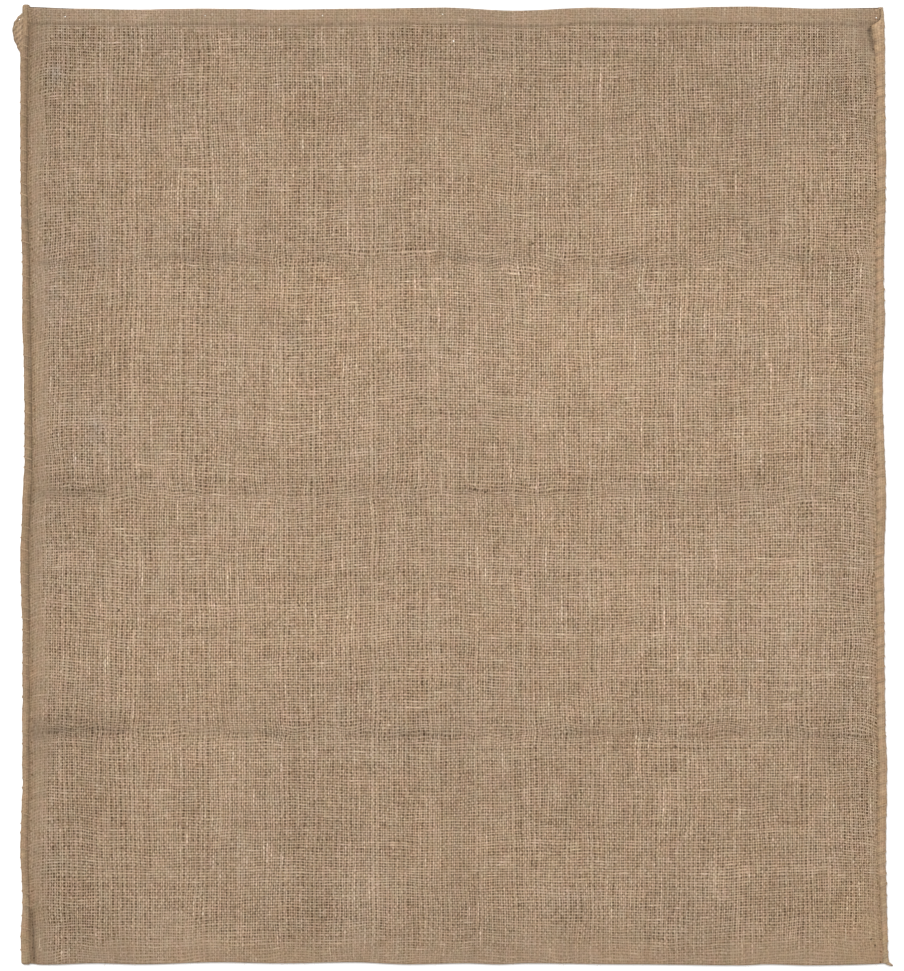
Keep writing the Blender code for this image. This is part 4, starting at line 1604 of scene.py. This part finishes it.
def inside_material():
    """The inside of the cloth, where its weave is only just seen."""
    net = Material("hessian_inside", (0.36, 0.25, 0.16))
    x, y, z = net.position()
    mottle = net.noise(x * 160.0, y * 140.0, z * 90.0, detail=3.0)
    streak = net.noise(x * 480.0, y * 30.0, 3.0) + net.noise(x * 30.0, y * 400.0, 7.0)
    tone = 0.40 + mottle * 0.22 + streak * 0.14
    colour = net.colour_at(tone.held(), JUTE_TONES)
    return net.wear(colour, (0.92 + mottle * 0.06).held(), mottle + streak, 0.0003)


def twine_material(name, low, high):
    """Jute twine: fibres that run round it at a slant, pale and dark ones together."""
    net = Material(name, high)
    along, around, _ = net.mapped("strand")
    tone = net.value("tone")
    fibres = net.noise(along * 0.55 + around * 9.0, along * 0.25, tone * 30.0, detail=2.0)
    blotch = net.noise(along * 0.2, tone * 40.0, 5.0)
    part = (0.5 + fibres * 1.1 + blotch * 0.5 + (tone - 0.5) * 0.35).held()
    colour = net.mix_colour(part, low, high)
    return net.wear(colour, (0.88 + fibres * 0.1).held(), fibres, 0.00012)


def speck_material(name, low, high, roughness):
    net = Material(name, high)
    x, y, z = net.position()
    mottle = net.noise(x * 2500.0, y * 2500.0, z * 2500.0, detail=2.0)
    colour = net.mix_colour((0.5 + mottle * 1.2).held(), low, high)
    return net.wear(colour, (roughness + mottle * 0.1).held(), mottle, 0.0001)


# ---------------------------------------------------------------- stage


FLOOR_SIZE = 6.0
FLOOR_DROP = 0.0002         # how far below the sack the floor is, so that the two don't coincide
CAMERA_MIDDLE = (0.0002, 0.00095)
VIEW_HEIGHT = 0.8642        # what the picture takes in, from its lower to its upper edge
SUBJECT_TOP = 0.008
LENS = 135.0
SENSOR = 36.0
SKY_STRENGTH = 0.80
LAMP_PLACE = (-0.9, 1.9, 4.2)
LAMP_SIZE = 2.2
LAMP_POWER = 185.0


def make_floor():
    bpy.ops.mesh.primitive_plane_add(size=FLOOR_SIZE, location=(0.0, 0.0, -FLOOR_DROP))
    floor = bpy.context.object
    floor.name = "floor"
    net = Material("floor_white", (0.93, 0.93, 0.93))
    x, y, _ = net.position()
    grain = net.noise(x * 40.0, y * 40.0, detail=2.0)
    colour = net.mix_colour((0.5 + grain).held(), (0.925, 0.925, 0.925), (0.935, 0.935, 0.935))
    floor.data.materials.append(net.wear(colour, 0.9, None, 0.0))


def make_camera():
    camera = bpy.data.objects.new("camera", bpy.data.cameras.new("camera"))
    camera.data.lens = LENS
    camera.data.sensor_width = SENSOR
    away = VIEW_HEIGHT * LENS / SENSOR + SUBJECT_TOP
    camera.location = (*CAMERA_MIDDLE, away)
    bpy.context.scene.collection.objects.link(camera)
    bpy.context.scene.camera = camera


def make_lights():
    world = bpy.data.worlds.new("studio")
    world.use_nodes = True
    background = world.node_tree.nodes["Background"]
    background.inputs["Color"].default_value = (1.0, 1.0, 1.0, 1.0)
    background.inputs["Strength"].default_value = SKY_STRENGTH
    bpy.context.scene.world = world
    lamp = bpy.data.lights.new("softbox", "AREA")
    lamp.shape = "SQUARE"
    lamp.size = LAMP_SIZE
    lamp.energy = LAMP_POWER
    light = bpy.data.objects.new("softbox", lamp)
    light.location = LAMP_PLACE
    x, y, z = LAMP_PLACE
    light.rotation_euler = (0.0, math.atan2(math.hypot(x, y), z), math.atan2(y, x))
    bpy.context.scene.collection.objects.link(light)
    bpy.context.scene.view_settings.view_transform = "Standard"


# ---------------------------------------------------------------- the sack


def hessian_pieces():
    outside, inside = weave_material("hessian"), inside_material()
    front = make_front((outside, inside))
    back = make_back((outside, inside))
    others = [make_roll("left", outside), make_roll("right", outside), make_ear_fold(outside)]
    return front, back, others


def twine_pieces():
    twine = twine_material("jute_twine", (0.22, 0.150, 0.090), (0.46, 0.330, 0.215))
    fibre = twine_material("jute_fibre", (0.34, 0.25, 0.16), (0.72, 0.58, 0.42))
    return [
        make_oversewing("left", twine),
        make_oversewing("right", twine),
        make_hem_stitches(twine),
        make_fibres(fibre),
        make_slubs(twine_material("pale_slub", (0.30, 0.215, 0.145), (0.54, 0.415, 0.300))),
    ]


def speck_pieces():
    lint = speck_material("white_lint", (0.80, 0.78, 0.72), (0.95, 0.94, 0.90), 0.8)
    dark = speck_material("dark_knot", (0.045, 0.028, 0.015), (0.16, 0.10, 0.055), 0.9)
    return [
        make_specks("lint", LINT, lint, 0.7, 131),
        make_specks("knots", KNOTS, dark, 0.5, 132),
    ]


def make_sack():
    front, back, cloth = hessian_pieces()
    trimmings = twine_pieces() + speck_pieces()
    for piece in [front, back, *cloth, *trimmings]:
        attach(piece, "root")
        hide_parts("sack_cloth")


make_camera()
make_floor()
make_lights()
make_sack()
